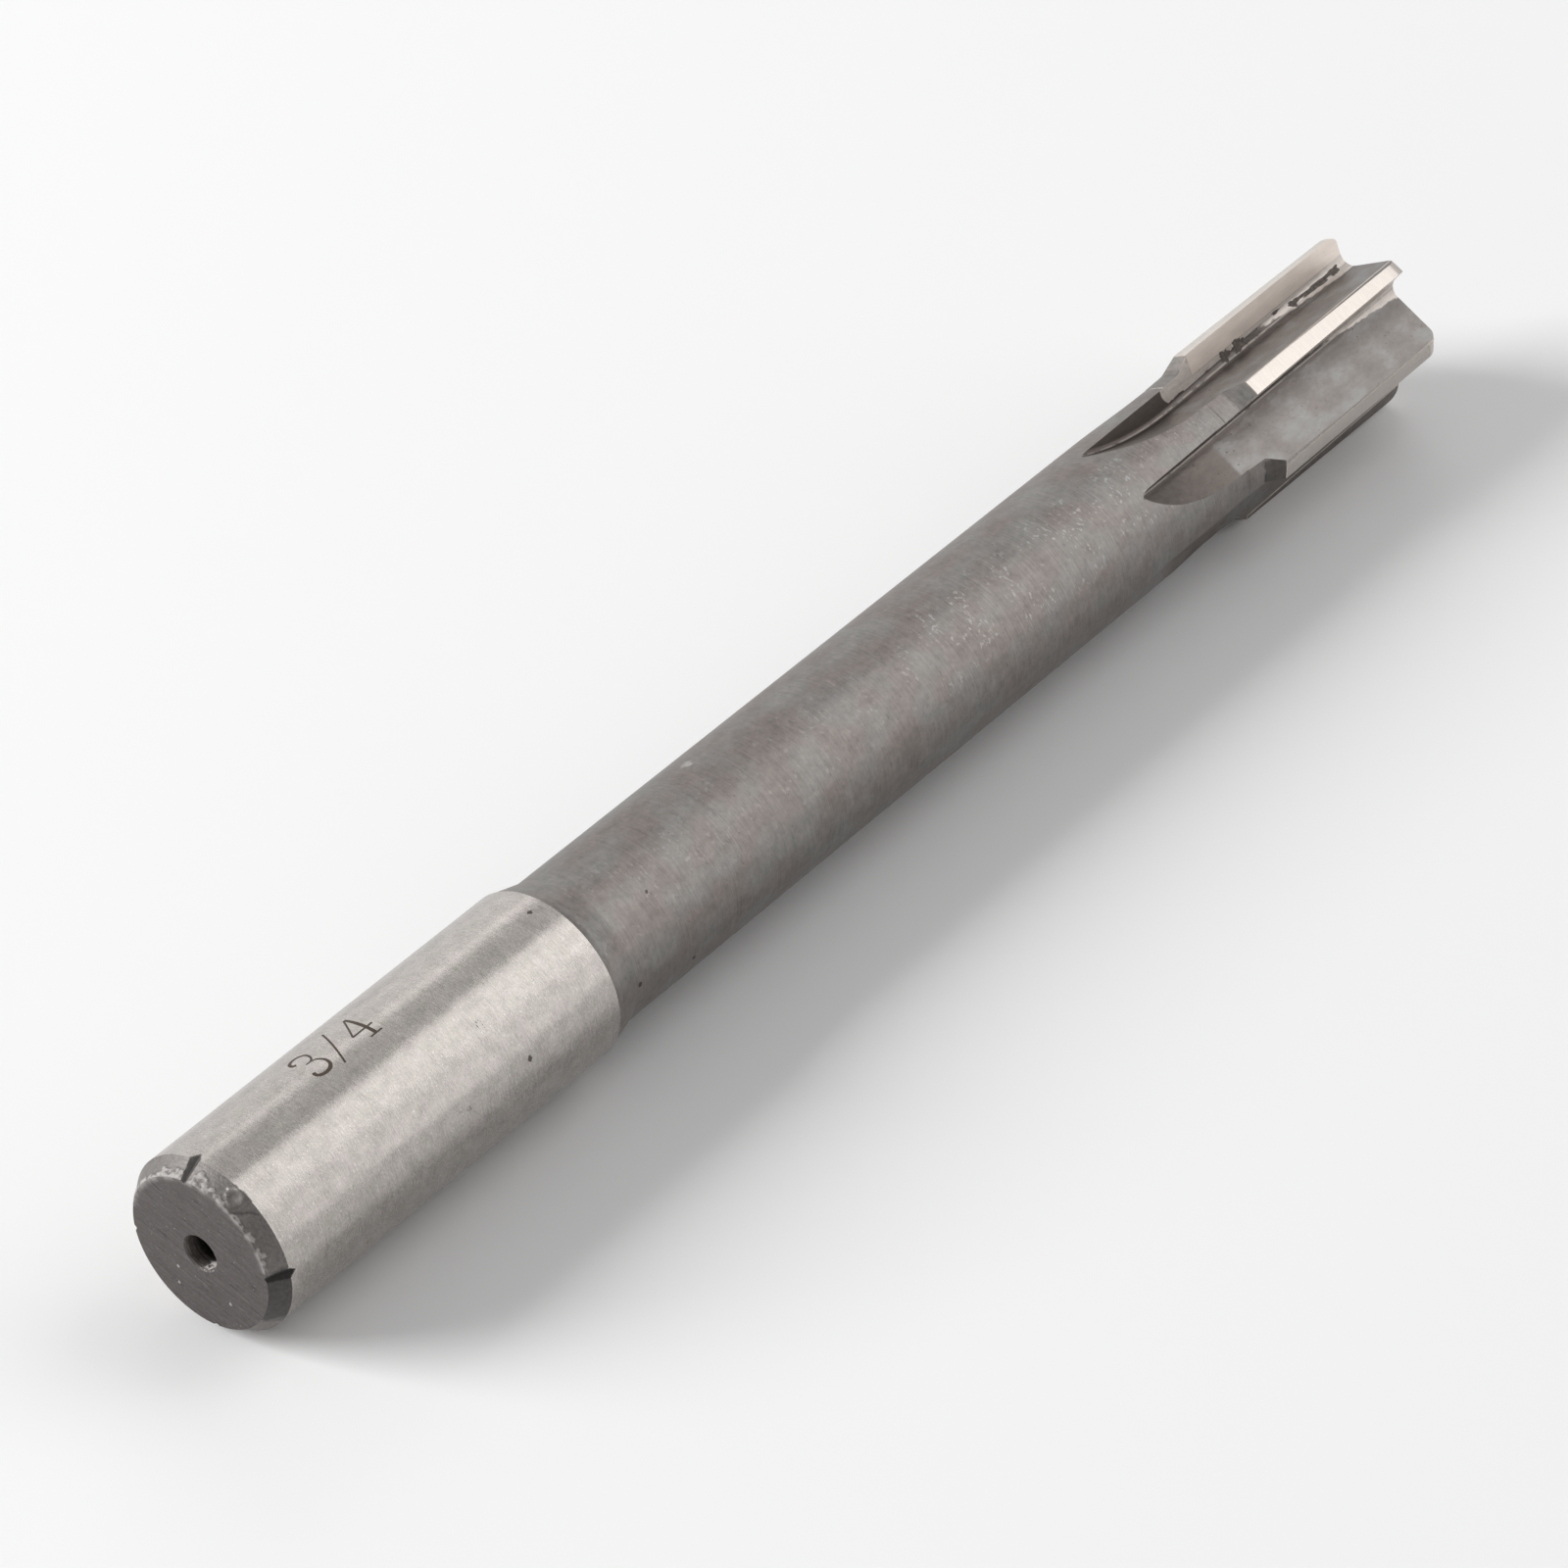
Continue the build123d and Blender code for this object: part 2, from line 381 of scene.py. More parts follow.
def flute_floor(sizes, number, x, depth_in):
    """Points of a flute's floor at stations x, for distances depth_in from the rake wall.

    The section is a fillet against the wall and a slope to the next land. Behind its straight part
    the section climbs along the cutter's circle.
    """
    span = radians(TOOTH_SPACINGS[number])
    span -= LAND_WIDTHS[(number + 1) % len(LAND_WIDTHS)] * MM / sizes.cutting_radius
    rise = sizes.cutting_radius * cos(span) - sizes.flute_root_radius
    reach = sizes.cutting_radius * sin(span)
    fillet = root_fillet(sizes, x)
    tangent = fillet / np.tan(np.arctan2(reach, rise) / 2)
    touch = tangent * reach / np.hypot(rise, reach)
    slope = sizes.flute_root_radius + depth_in * rise / reach
    inner = np.sqrt(np.clip(fillet**2 - (depth_in - fillet) ** 2, 0, None))
    curve = sizes.flute_root_radius + tangent - inner
    section = np.where(depth_in < touch, curve, slope)
    climb = sizes.neck_radius - sizes.flute_root_radius
    cutter = (sizes.run_out_length**2 + climb**2) / (2 * climb)
    centre = sizes.flute_root_radius + cutter
    behind = head_stations(sizes)[-1] - x + depth_in * sin(sizes.flute_slant)
    behind = np.clip(behind, 0, None) / cos(sizes.flute_slant)
    height = centre - np.sqrt(np.clip((centre - section) ** 2 - behind**2, 0, None))
    return height + 1j * (depth_in / cos(sizes.flute_slant) + wall_reach(sizes, x))


def in_next_tooth(number, point):
    """Points across the tool, carried from a tooth's axes to those of the tooth after it."""
    return point * np.exp(-1j * radians(TOOTH_SPACINGS[number]))


def flute_limits(sizes, number, x, stop_back):
    """Nearest and farthest distance from the rake wall at which a flute's floor lies in the blank.

    A fine row of trial points is tested at each station, and the crossing is interpolated. The
    floor also ends at the distance stop_back behind the next tooth's rake wall.
    """
    trial = np.linspace(0, 11 * MM, 1101)
    point = flute_floor(sizes, number, x[:, None], trial)
    before_stop = (wall_reach(sizes, x) - stop_back)[:, None] - in_next_tooth(number, point).imag
    inside = np.minimum(blank_radius(sizes, x)[:, None] - np.abs(point), before_stop)
    kept = inside > 0
    rows = np.arange(len(x))
    first = kept.argmax(axis=1)
    last = len(trial) - 1 - kept[:, ::-1].argmax(axis=1)

    def crossing(out, within):
        out = np.clip(out, 0, len(trial) - 1)
        a, b = inside[rows, out], inside[rows, within]
        part = np.where(out == within, 0, b / np.where(a == b, 1, b - a))
        return trial[within] + (trial[out] - trial[within]) * part

    near = np.where(first == 0, 0, crossing(first - 1, first))
    return kept.any(axis=1), near, crossing(last + 1, last)


class BodySurface:
    """The steel body as one grid of rings and columns, in polar coordinates about the axis."""

    land_columns = 66
    wall_columns = 9
    floor_columns = 25
    hole_columns = 20

    def __init__(self, sizes):
        self.sizes = sizes
        self.seat_start = STRIP_START - sizes.braze_thickness
        self.columns = self.land_columns + self.wall_columns + self.floor_columns
        self.shank_rings()
        self.head_rings()

    def shank_rings(self):
        """Rings from the bottom of the centre hole over the end face and the shank to the neck.

        Each corner has its station and radius, and the steps and the zone of the run up to it.
        """
        sizes = self.sizes
        front = sizes.shank_radius - sizes.chamfer_depth
        hole, depth = sizes.shank_hole_radius, sizes.shank_hole_depth
        neck_start = sizes.shank_length + sizes.shoulder_length
        corners = [
            (depth + hole / tan(DRILL_POINT / 2), 0, 1, "bore"),
            (depth, hole, 4, "bore"),
            (0.15 * MM, hole, 8, "bore"),
            (0, hole + 0.15 * MM, 2, "end_face"),
            (0, front - 0.6 * MM, 3, "end_face"),
            (0, front, 5, "end_face"),
            (sizes.chamfer_length, sizes.shank_radius, 20, "chamfer"),
            (sizes.notch_length + 0.2 * MM, sizes.shank_radius, 8, "shank"),
            (sizes.shank_length - 0.4 * MM, sizes.shank_radius, 8, "shank"),
            (sizes.shank_length - 0.12 * MM, sizes.shank_radius, 1, "shank"),
            (sizes.shank_length, sizes.shank_radius - 0.08 * MM, 2, "shank"),
            (neck_start - 0.15 * MM, sizes.neck_radius + 0.04 * MM, 5, "shoulder"),
            (neck_start + 0.15 * MM, sizes.neck_radius, 1, "shoulder"),
            (STRIP_START - 22 * MM, sizes.neck_radius, 10, "neck"),
        ]
        x, radius, zone = [corners[0][0]], [corners[0][1]], ["bore"]
        for (x0, r0, _, _), (x1, r1, steps, name) in zip(corners, corners[1:]):
            parts = np.arange(1, steps + 1) / steps
            x.extend(x0 + (x1 - x0) * parts)
            radius.extend(r0 + (r1 - r0) * parts)
            zone.extend([name] * steps)
        self.shank_x, self.shank_radius, self.zones = np.array(x), np.array(radius), zone

    def head_rings(self):
        """Stations of the head: close together at the flutes' ends, and at each corner of the blank."""
        lead = self.sizes.lead_round
        collar_start, ramp_start, floor_start = head_stations(self.sizes)
        tip = floor_start - self.sizes.run_out_length
        bare = np.concatenate([
            np.linspace(self.shank_x[-1], tip - 0.3 * MM, 4)[1:],
            tip + np.linspace(0, 1, 30) ** 1.5 * (floor_start - tip),
            np.linspace(floor_start, collar_start, 4)[1:],
            [collar_start + COLLAR_STEP],
            np.linspace(collar_start, ramp_start, 6)[1:],
            np.linspace(ramp_start, self.seat_start, 5)[1:],
        ])
        seated = np.concatenate([
            [self.seat_start],
            np.linspace(STRIP_START, TOOL_END - lead, 16),
            TOOL_END - lead * (1 - np.sin(np.linspace(0, pi / 2, 9)[1:])),
        ])
        self.head_x = np.concatenate([bare, seated])
        self.seated = np.arange(len(self.head_x)) >= len(bare)

    def tooth_columns(self, number, start_turn, start_radius, tip_turn):
        """Radius and turn of one tooth's land, rake wall and flute floor on each head station.

        Where a strip is seated, the land gives way to the seat: up to the strip's back, down to its
        foot and along the foot to the rake wall.
        """
        sizes, x = self.sizes, self.head_x
        turn = edge_turn(sizes, number)
        found, near, far = self.limits[number]
        outer, wall = blank_radius(sizes, x), wall_reach(sizes, x)
        top = flute_floor(sizes, number, x, np.where(found, near, 0))
        top = np.where(near <= 0, np.sqrt(outer**2 - wall**2) + 1j * wall, top)
        edge = np.where(found, turn + np.angle(top), tip_turn)

        parts = np.linspace(0, 1, self.land_columns)
        land_turn = start_turn[:, None] * (1 - parts) + edge[:, None] * parts
        back = wall - (sizes.strip_thickness + sizes.braze_thickness)
        foot = sizes.cutting_radius - sizes.strip_height - sizes.braze_thickness
        start = start_radius * np.exp(1j * (start_turn - turn))
        wide = start_radius > outer - ON_BLANK
        corner = np.where(wide, np.sqrt(outer**2 - back**2) + 1j * back, start)
        knots = np.stack([start, corner, foot + 1j * back, foot + 1j * wall], axis=1)
        seat = np.stack([np.interp(parts, SEAT_KNOTS, ring) for ring in knots])
        seated = self.seated[:, None]
        land_radius = np.where(seated, np.abs(seat), outer[:, None])
        land_turn = np.where(seated, turn + np.angle(seat), land_turn)

        top = np.where(self.seated, foot + 1j * top.imag, top)[:, None]
        bottom = flute_floor(sizes, number, x, near)[:, None]
        down = np.linspace(0, 1, self.wall_columns + 2)[1:-1]
        across = np.linspace(0, 1, self.floor_columns + 1)[:-1] ** 2
        depth_in = near[:, None] + (far - near)[:, None] * across
        floor = flute_floor(sizes, number, x[:, None], depth_in)
        cut = np.concatenate([top * (1 - down) + bottom * down, floor], axis=1)
        cut_radius = np.where(found[:, None], np.abs(cut), outer[:, None])
        cut_turn = np.where(found[:, None], turn + np.angle(cut), tip_turn)
        return (
            np.concatenate([land_radius, cut_radius], axis=1),
            np.concatenate([land_turn, cut_turn], axis=1),
        )

    def build(self):
        """Grid of points (rings, columns, 3) over the shank and the head.

        The marks keep each point's height and distance from the root on its tooth, in millimetres.
        Lands count as far from any root, and the shank holds zeros.
        """
        sizes, x = self.sizes, self.head_x
        seat_back = sizes.strip_thickness + sizes.braze_thickness
        stop_back = np.where(self.seated, seat_back, -np.inf)
        self.limits = [flute_limits(sizes, number, x, stop_back) for number in TEETH]
        starts, start_radii, tips = [], [], []
        for number in TEETH:
            found, _, far = self.limits[number]
            end = flute_floor(sizes, number, x, far)
            end_turn = edge_turn(sizes, number) + np.angle(end)
            tips.append(end_turn[found.argmax()])
            starts.append(np.where(found, end_turn, tips[-1]))
            start_radii.append(np.where(self.seated, np.abs(end), blank_radius(sizes, x)))
        starts[-1] = starts[-1] - 2 * pi
        radii, turns, heights, depths = [], [], [], []
        for number in TEETH:
            radius, turn = self.tooth_columns(
                number, starts[number - 1], start_radii[number - 1], tips[number]
            )
            point = radius * np.exp(1j * (turn - edge_turn(sizes, number)))
            depth = point.imag - wall_reach(sizes, x)[:, None]
            depth[:, : self.land_columns] = LAND_DEPTH
            radii.append(radius)
            turns.append(turn)
            heights.append(point.real / MM)
            depths.append(depth / MM)
        head_radius, head_turn = np.concatenate(radii, axis=1), np.concatenate(turns, axis=1)
        self.last_turn = head_turn[-1]
        shape = (len(self.shank_x), head_turn.shape[1])
        shank_x, shank_radius, shank_turn, wear_and_painted_light = self.shank_details(
            np.broadcast_to(self.shank_x[:, None], shape),
            np.broadcast_to(self.shank_radius[:, None], shape),
            np.broadcast_to(head_turn[:1], shape),
        )
        bare_shank, bare_head = np.zeros(shape), np.zeros(head_turn.shape)
        self.marks = {
            "wall_height": np.concatenate([bare_shank, np.concatenate(heights, axis=1)]),
            "root_depth": np.concatenate([bare_shank, np.concatenate(depths, axis=1)]),
        }
        for name, values in wear_and_painted_light.items():
            self.marks[name] = np.concatenate([values, bare_head])
        station = np.concatenate([shank_x, np.broadcast_to(x[:, None], head_turn.shape)])
        radius = np.concatenate([shank_radius, head_radius])
        turn = np.concatenate([shank_turn, head_turn])
        return np.stack([station, radius * np.cos(turn), radius * np.sin(turn)], axis=-1)

    def shank_details(self, x, radius, turn):
        """Driver notches, burr, flake, dent and crease, worked into the shank's end.

        Relief is a height off the end chamfer, which moves a point outwards and backwards. The burr, the
        scraped metal of the dent, and the painted shade and painted highlight about the dent, crease and
        flake, are also given as numbers between 0 and 1, for the materials.
        """
        sizes = self.sizes
        gather = 0.7 * hump(np.clip(x - sizes.notch_length, 0, None), 8 * MM)
        turn = turn - gather / NOTCH_COUNT * np.sin(NOTCH_COUNT * (turn - sizes.notch_turn))
        slope = (sizes.shank_radius - sizes.notch_root_radius) / sizes.notch_length
        pitch = 2 * pi / NOTCH_COUNT
        away = (turn - sizes.notch_turn + pitch / 2) % pitch - pitch / 2
        flank = sizes.notch_root_radius + slope * x
        flank = flank + np.abs(away) * radius / tan(sizes.notch_angle / 2)
        self.notched = (flank < radius - 1e-6) & (x < sizes.notch_length + 1 * MM)

        degrees = np.degrees(turn) % 360
        around = turn * sizes.shank_radius
        zone = np.array([name in ("chamfer", "end_face") for name in self.zones])[:, None]
        front = sizes.shank_radius - sizes.chamfer_depth
        at_edge = hump(np.clip(front - radius, 0, None), 0.3 * MM)
        torn = rough(x, around * 0.6, 5, 1.2 * MM)
        fine = rough(x, around * 0.6, 6, 0.5 * MM)

        def arc_from(place):
            """Length of the arc round the shank from a turn in degrees."""
            return np.radians(degrees - place) * sizes.shank_radius

        reach = np.interp(degrees, *zip(*BURR_REACH)) * MM
        reach = reach * (1 + 0.35 * torn + 0.3 * fine)
        burr = np.clip((reach - x) / (0.15 * MM), 0, 1) * at_edge * zone * (reach > 0)
        burr = burr * np.clip(0.6 + 0.4 * torn + 0.3 * fine, 0.25, 1)
        flake_x, flake_turn = FLAKE_PLACE
        from_flake = np.hypot(x - flake_x * MM, arc_from(flake_turn)) * (1 + 0.1 * fine)
        hollow = hump(from_flake, 0.5 * MM)
        flake = hump(from_flake - FLAKE_RADIUS, 0.17 * MM) * zone * at_edge
        burr = np.maximum(burr * (1 - 0.9 * hollow), flake)

        dent_x, dent_turn = DENT_PLACE
        aside = arc_from(dent_turn)
        from_dent = np.hypot((x - dent_x * MM) * 1.2, aside) * (1 + 0.12 * torn)
        rim = hump(from_dent - RIM_RADIUS, 0.15 * MM) * np.clip(0.5 - aside / (0.7 * MM), 0, 1)
        shade_side = hump(from_dent - 0.9 * MM, 0.2 * MM) * np.clip(aside / (0.6 * MM), 0, 1)
        (x0, t0), (x1, t1) = CREASE_ENDS
        part = np.clip((x / MM - x0) / (x1 - x0), 0, 1)
        bend = 0.7 * np.sin(2 * pi * part)
        crease = hump(arc_from(t0 + (t1 - t0) * part + bend), CREASE_WIDTH)
        crease = crease * ((x / MM > x0) & (x / MM < x1))
        relief = sizes.burr_height * burr
        relief = relief - zone * sizes.dent_depth * hump(from_dent, DENT_RADIUS)
        relief = relief + zone * RIM_HEIGHT * rim * (1 + 0.4 * fine) - zone * CREASE_DEPTH * crease

        tilt = np.arctan2(sizes.chamfer_depth, sizes.chamfer_length)
        radius = radius + relief * cos(tilt)
        x = np.maximum(x - relief * sin(tilt) * (x > 0), 0)
        radius = np.where(self.notched, np.minimum(flank, radius), radius)
        middle = hump(from_dent, 0.5 * MM) * (0.5 + 0.3 * fine)
        wear_and_painted_light = {
            "burr": np.clip(burr * 1.3, 0, 1) * ~self.notched,
            # Painted highlight on one side of the dent's rim, and scraped metal in its middle.
            "scrape_and_painted_highlight": zone * np.clip(rim * (1 + 0.3 * fine) + 0.6 * middle, 0, 1),
            # Painted shade in the crease, in the flake's hollow and on the dent's far side.
            "painted_chamfer_shade": zone * np.clip(crease + 0.8 * shade_side + 0.7 * hollow * at_edge, 0, 1),
        }
        return x, radius, turn, wear_and_painted_light

    def face_materials(self, slots):
        """Material index of each quad, from its ring's zone and its columns."""
        columns = self.columns * len(TEETH)
        rings = len(self.shank_x) + len(self.head_x)
        index = np.full((rings - 1, columns), slots["neck"])
        for ring, zone in enumerate(self.zones[1:]):
            index[ring] = slots[zone]
        notched = self.notched[1:] & self.notched[:-1]
        notched &= np.roll(notched, -1, axis=1)
        index[: notched.shape[0]][notched] = slots["notch"]
        place = np.arange(columns) % self.columns
        head = len(self.shank_x) - 1
        wall_start = self.land_columns - 1
        floor_start = wall_start + self.wall_columns + 1
        index[head:, (place >= wall_start) & (place < floor_start)] = slots["wall"]
        index[head:, place >= floor_start] = slots["flute"]
        seat_ring = len(self.shank_x) + np.count_nonzero(~self.seated)
        index[seat_ring:, place < BODY_LAND_COLUMNS] = slots["shank"]
        return index.ravel()

    def front_face(self, start):
        """Front centre hole and flat end face, joined to the last ring of the body's grid.

        The hole's rings shrink from a circle inside the flutes to its point. The face is split into
        one sector for each tooth, along radial lines through the middle of the flute floors.
        """
        hole, sink_radius = self.sizes.front_hole_radius, self.sizes.front_sink_radius
        inner = 5.0 * MM
        sink = (sink_radius - hole) / tan(SINK_ANGLE / 2)
        bottom = TOOL_END - self.sizes.front_hole_depth
        rings = [
            (TOOL_END, inner),
            (TOOL_END, sink_radius),
            (TOOL_END - sink, hole),
            (bottom, hole),
            (bottom - hole / tan(DRILL_POINT / 2), 0),
        ]
        middle = self.land_columns + self.wall_columns + self.floor_columns // 2
        cuts = [number * self.columns + middle for number in TEETH]
        cut_turns = [self.last_turn[cuts[-1]] - 2 * pi, *self.last_turn[cuts]]
        parts = np.arange(self.hole_columns) / self.hole_columns
        turns = np.concatenate([a + (b - a) * parts for a, b in zip(cut_turns, cut_turns[1:])])
        station, radius = (np.array(values)[:, None] for values in zip(*rings))
        points = np.stack(
            np.broadcast_arrays(station, radius * np.cos(turns), radius * np.sin(turns)), axis=-1
        )
        columns = self.columns * len(TEETH)
        outline = start - columns
        sectors = []
        for number in TEETH:
            first = cuts[number - 1] - (columns if number == 0 else 0)
            outer = [outline + column % columns for column in range(first, cuts[number] + 1)]
            circle = range(number * self.hole_columns, (number + 1) * self.hole_columns + 1)
            inside = [start + column % len(turns) for column in circle]
            sectors.append(outer + inside[::-1])
        return points, sectors


def strip_section(sizes, number, x):
    """Closed outline of a cutting strip at each station, as points across the tool.

    It runs from the foot up the rake face to the edge, back over the land, down the floor of the
    flute behind, down the back to the foot, and along the foot.
    """
    behind = (number - 1) % len(TEETH)
    outer, wall = blank_radius(sizes, x), wall_reach(sizes, x)
    back = wall - sizes.strip_thickness
    foot = sizes.cutting_radius - sizes.strip_height

    def floor_end(stop_back):
        """Where the floor of the flute behind ends, on the blank or at a distance from the wall."""
        _, _, far = flute_limits(sizes, behind, x, np.full_like(x, stop_back))
        return in_next_tooth(behind, flute_floor(sizes, behind, x, far))

    land_end, low_end = floor_end(-np.inf), floor_end(sizes.strip_thickness)
    wide = land_end.imag < back
    full = np.sqrt(outer**2 - back**2) + 1j * back
    corners = [
        foot + 1j * wall,
        np.sqrt(outer**2 - wall**2) + 1j * wall,
        np.where(wide, full, land_end),
        np.where(wide, full, low_end),
        foot + 1j * back,
    ]
    sides = []
    for start, end, steps in zip(corners, corners[1:] + corners[:1], STRIP_STEPS):
        sides.append(start[:, None] + (end - start)[:, None] * (np.arange(steps) / steps))
    outline = np.concatenate(sides, axis=1)
    land = outline[:, STRIP_LAND].imag
    outline[:, STRIP_LAND] = np.sqrt(outer[:, None] ** 2 - land**2) + 1j * land
    return outline


def fillet_depth(sizes, number, x, height):
    """How far the root fillet stands off the rake wall at a height: its circle, solved for it."""
    fillet = root_fillet(sizes, x)
    top = flute_floor(sizes, number, x, np.zeros_like(x)).real
    below = np.clip(top - height, 0, 0.97 * fillet)
    return fillet - np.sqrt(fillet**2 - below**2)


def spill_points(sizes, number, distance, height, half_length, half_height, seed):
    """Dome of spilt braze on a rake wall, as rings from its middle out and a ring behind it.

    The outline is an ellipse that waves in and out, and the dome follows half a circle, roughened.
    It follows the wall and the root fillet below it.
    """
    around = np.linspace(0, 2 * pi, 96, endpoint=False)[None, :]
    share = np.array([0, 0.2, 0.4, 0.6, 0.78, 0.9, 0.97, 1.0, 1.0])[:, None]
    outline = 1 + 0.45 * waves(around, seed, (3, 5, 7, 11, 17))
    x = TOOL_END - distance * MM + half_length * MM * share * outline * np.cos(around)
    rise = height * MM + half_height * MM * share * outline * np.sin(around)
    dome = np.sqrt(1 - share**2) * (1 + 0.35 * rough(x, rise, seed + 1, 0.5 * MM) * (share < 1))
    off_wall = sizes.spill_height * dome + 0.004 * MM
    off_wall[-1] = -0.03 * MM
    x = np.minimum(x, TOOL_END - 0.15 * MM)
    off_wall = off_wall + fillet_depth(sizes, number, x, rise)
    return across_tool(sizes, number, x, rise + 1j * (wall_reach(sizes, x) + off_wall))


def smooth_path(points, count):
    """Even samples of a curve through the points: a cubic between each two, with shared slopes."""
    points = np.asarray(points, float)
    ends = np.concatenate([2 * points[:1] - points[1:2], points, 2 * points[-1:] - points[-2:-1]])
    place = np.linspace(0, len(points) - 1, count)
    span = np.minimum(place.astype(int), len(points) - 2)
    part = (place - span)[:, None]
    before, start, end, after = (ends[span + step] for step in range(4))
    slope_start, slope_end = (end - before) / 2, (after - start) / 2
    return (
        (2 * part**3 - 3 * part**2 + 1) * start
        + (part**3 - 2 * part**2 + part) * slope_start
        + (3 * part**2 - 2 * part**3) * end
        + (part**3 - part**2) * slope_end
    )


def mark_stroke(sizes, points, widths):
    """Thin slab along one stroke of the size mark, laid round the shank.

    Each ring is a rectangle across the stroke, from just under the shank's surface to just over it.
    """
    path = smooth_path(points, 8 * len(points))
    along = np.gradient(path, axis=0)
    along /= np.linalg.norm(along, axis=1, keepdims=True)
    side = np.stack([-along[:, 1], along[:, 0]], axis=1)
    half = np.interp(np.linspace(0, 1, len(path)), [0, 0.5, 1], widths)[:, None] * 0.65
    sides = np.array([-1, -1, 1, 1])
    flat = path[:, None, :] + side[:, None, :] * (half * sides)[:, :, None]
    radius = sizes.shank_radius + np.array([-0.03, 0.006, 0.006, -0.03]) * MM
    turn = MARK_TURN - flat[:, :, 1] * MM / sizes.shank_radius
    return np.stack([flat[:, :, 0] * MM, radius * np.cos(turn), radius * np.sin(turn)], axis=-1)


class Signal:
    """A number in a node tree. An expression on signals adds the Math nodes that work it out."""

    def __init__(self, finish, socket):
        self.finish = finish
        self.socket = socket

    def __add__(self, other):
        return self.finish.math("ADD", self, other)

    def __sub__(self, other):
        return self.finish.math("SUBTRACT", self, other)

    def __rsub__(self, other):
        return self.finish.math("SUBTRACT", other, self)

    def __mul__(self, other):
        return self.finish.math("MULTIPLY", self, other)

    def __pow__(self, other):
        return self.finish.math("POWER", self, other)

    def __abs__(self):
        return self.finish.math("ABSOLUTE", self)

    __radd__ = __add__
    __rmul__ = __mul__

    def at_most(self, other):
        return self.finish.math("MINIMUM", self, other)

    def at_least(self, other):
        return self.finish.math("MAXIMUM", self, other)

    def rise(self, low, high):
        """Smooth step: 0 at low and 1 at high, which may also be the smaller of the two."""
        settings = {"interpolation_type": "SMOOTHSTEP"}
        sockets = {0: self, 1: low, 2: high}
        return Signal(self.finish, self.finish.node("ShaderNodeMapRange", settings, sockets))


class Finish:
    """One material in the making: places in millimetres, noises, its base colour and its shader."""

    def __init__(self, name, base, metallic=1.0):
        self.base = base
        self.material = bpy.data.materials.new(name)
        self.material.use_nodes = True
        self.tree = self.material.node_tree
        self.shader = self.tree.nodes["Principled BSDF"]
        self.shader.inputs["Metallic"].default_value = metallic
        self.place = self.shade(self.node("ShaderNodeTexCoord", output="Object"), 1 / MM)
        self.x = Signal(self, self.node("ShaderNodeSeparateXYZ", sockets={0: self.place}))

    def node(self, kind, settings=None, sockets=None, output=0):
        """Adds a node, its settings first and then its sockets, and gives one of its outputs."""
        made = self.tree.nodes.new(kind)
        for key, value in (settings or {}).items():
            setattr(made, key, value)
        for key, value in (sockets or {}).items():
            self.feed(made.inputs[key], value)
        return made.outputs[output]

    def feed(self, socket, value):
        """Links a signal or an output to a socket, or sets the socket to a plain value."""
        if isinstance(value, Signal):
            value = value.socket
        if isinstance(value, bpy.types.NodeSocket):
            self.tree.links.new(value, socket)
        elif socket.type == "RGBA":
            socket.default_value = (*value, 1)
        else:
            socket.default_value = value

    def math(self, operation, *values):
        sockets = dict(enumerate(values))
        return Signal(self, self.node("ShaderNodeMath", {"operation": operation}, sockets))

    def attribute(self, name):
        """A number that the mesh keeps on its points."""
        settings = {"attribute_type": "GEOMETRY", "attribute_name": name}
        return Signal(self, self.node("ShaderNodeAttribute", settings, output="Fac"))

    def measure(self, operation, vector):
        """A number from each place and a vector, such as their dot product, in millimetres."""
        settings, sockets = {"operation": operation}, {0: self.place, 1: vector}
        return Signal(self, self.node("ShaderNodeVectorMath", settings, sockets, "Value"))

    def side(self, turn, low, high):
        """Mask of one side of the tool, by how far a place lies along a turn in degrees."""
        way = (0, cos(radians(turn)), sin(radians(turn)))
        return self.measure("DOT_PRODUCT", way).rise(low, high)

    def noise(self, along, across, offset=0.0, detail=2.0, roughness=0.5, place=None):
        """Noise between 0 and 1, with a pitch along the first axis and one across it."""
        scale = (1 / along, 1 / across, 1 / across)
        sockets = {0: place or self.place, 1: scale, 2: (offset, offset, offset)}
        vector = self.node("ShaderNodeVectorMath", {"operation": "MULTIPLY_ADD"}, sockets)
        sockets = {"Vector": vector, "Scale": 1.0, "Detail": detail, "Roughness": roughness}
        return Signal(self, self.node("ShaderNodeTexNoise", sockets=sockets))

    def spot(self, x, turn, radius, size, soft=0.3):
        """Uneven round mask about the place at a station, a turn in degrees and a radius."""
        middle = (x, radius * cos(radians(turn)), radius * sin(radians(turn)))
        wobble = self.noise(size, size, turn, detail=3) - 0.5
        away = self.measure("DISTANCE", middle) + wobble * 1.8 * size
        return away.rise(size, size * (1 - soft))

    def shade(self, vector, factor):
        """A colour or a vector, scaled by a signal or a number."""
        return self.node("ShaderNodeVectorMath", {"operation": "SCALE"}, {0: vector, "Scale": factor})

    def dim(self, factor):
        """Makes the base lighter or darker by a signal."""
        self.base = self.shade(self.base, factor)

    def lay(self, mask, tint):
        """Lays a colour over the base, as far as a mask goes."""
        sockets = {0: mask, 6: self.base, 7: tint}
        self.base = self.node("ShaderNodeMix", {"data_type": "RGBA"}, sockets, 2)

    def surface(self, roughness, relief, depth, metallic=None):
        """Feeds the shader. Relief is a height signal, and depth is its scale in millimetres."""
        self.feed(self.shader.inputs["Base Color"], self.base)
        self.feed(self.shader.inputs["Roughness"], roughness)
        if metallic is not None:
            self.feed(self.shader.inputs["Metallic"], metallic)
        bump = self.node("ShaderNodeBump", sockets={"Height": relief, "Distance": depth * MM})
        self.feed(self.shader.inputs["Normal"], bump)
        return self.material


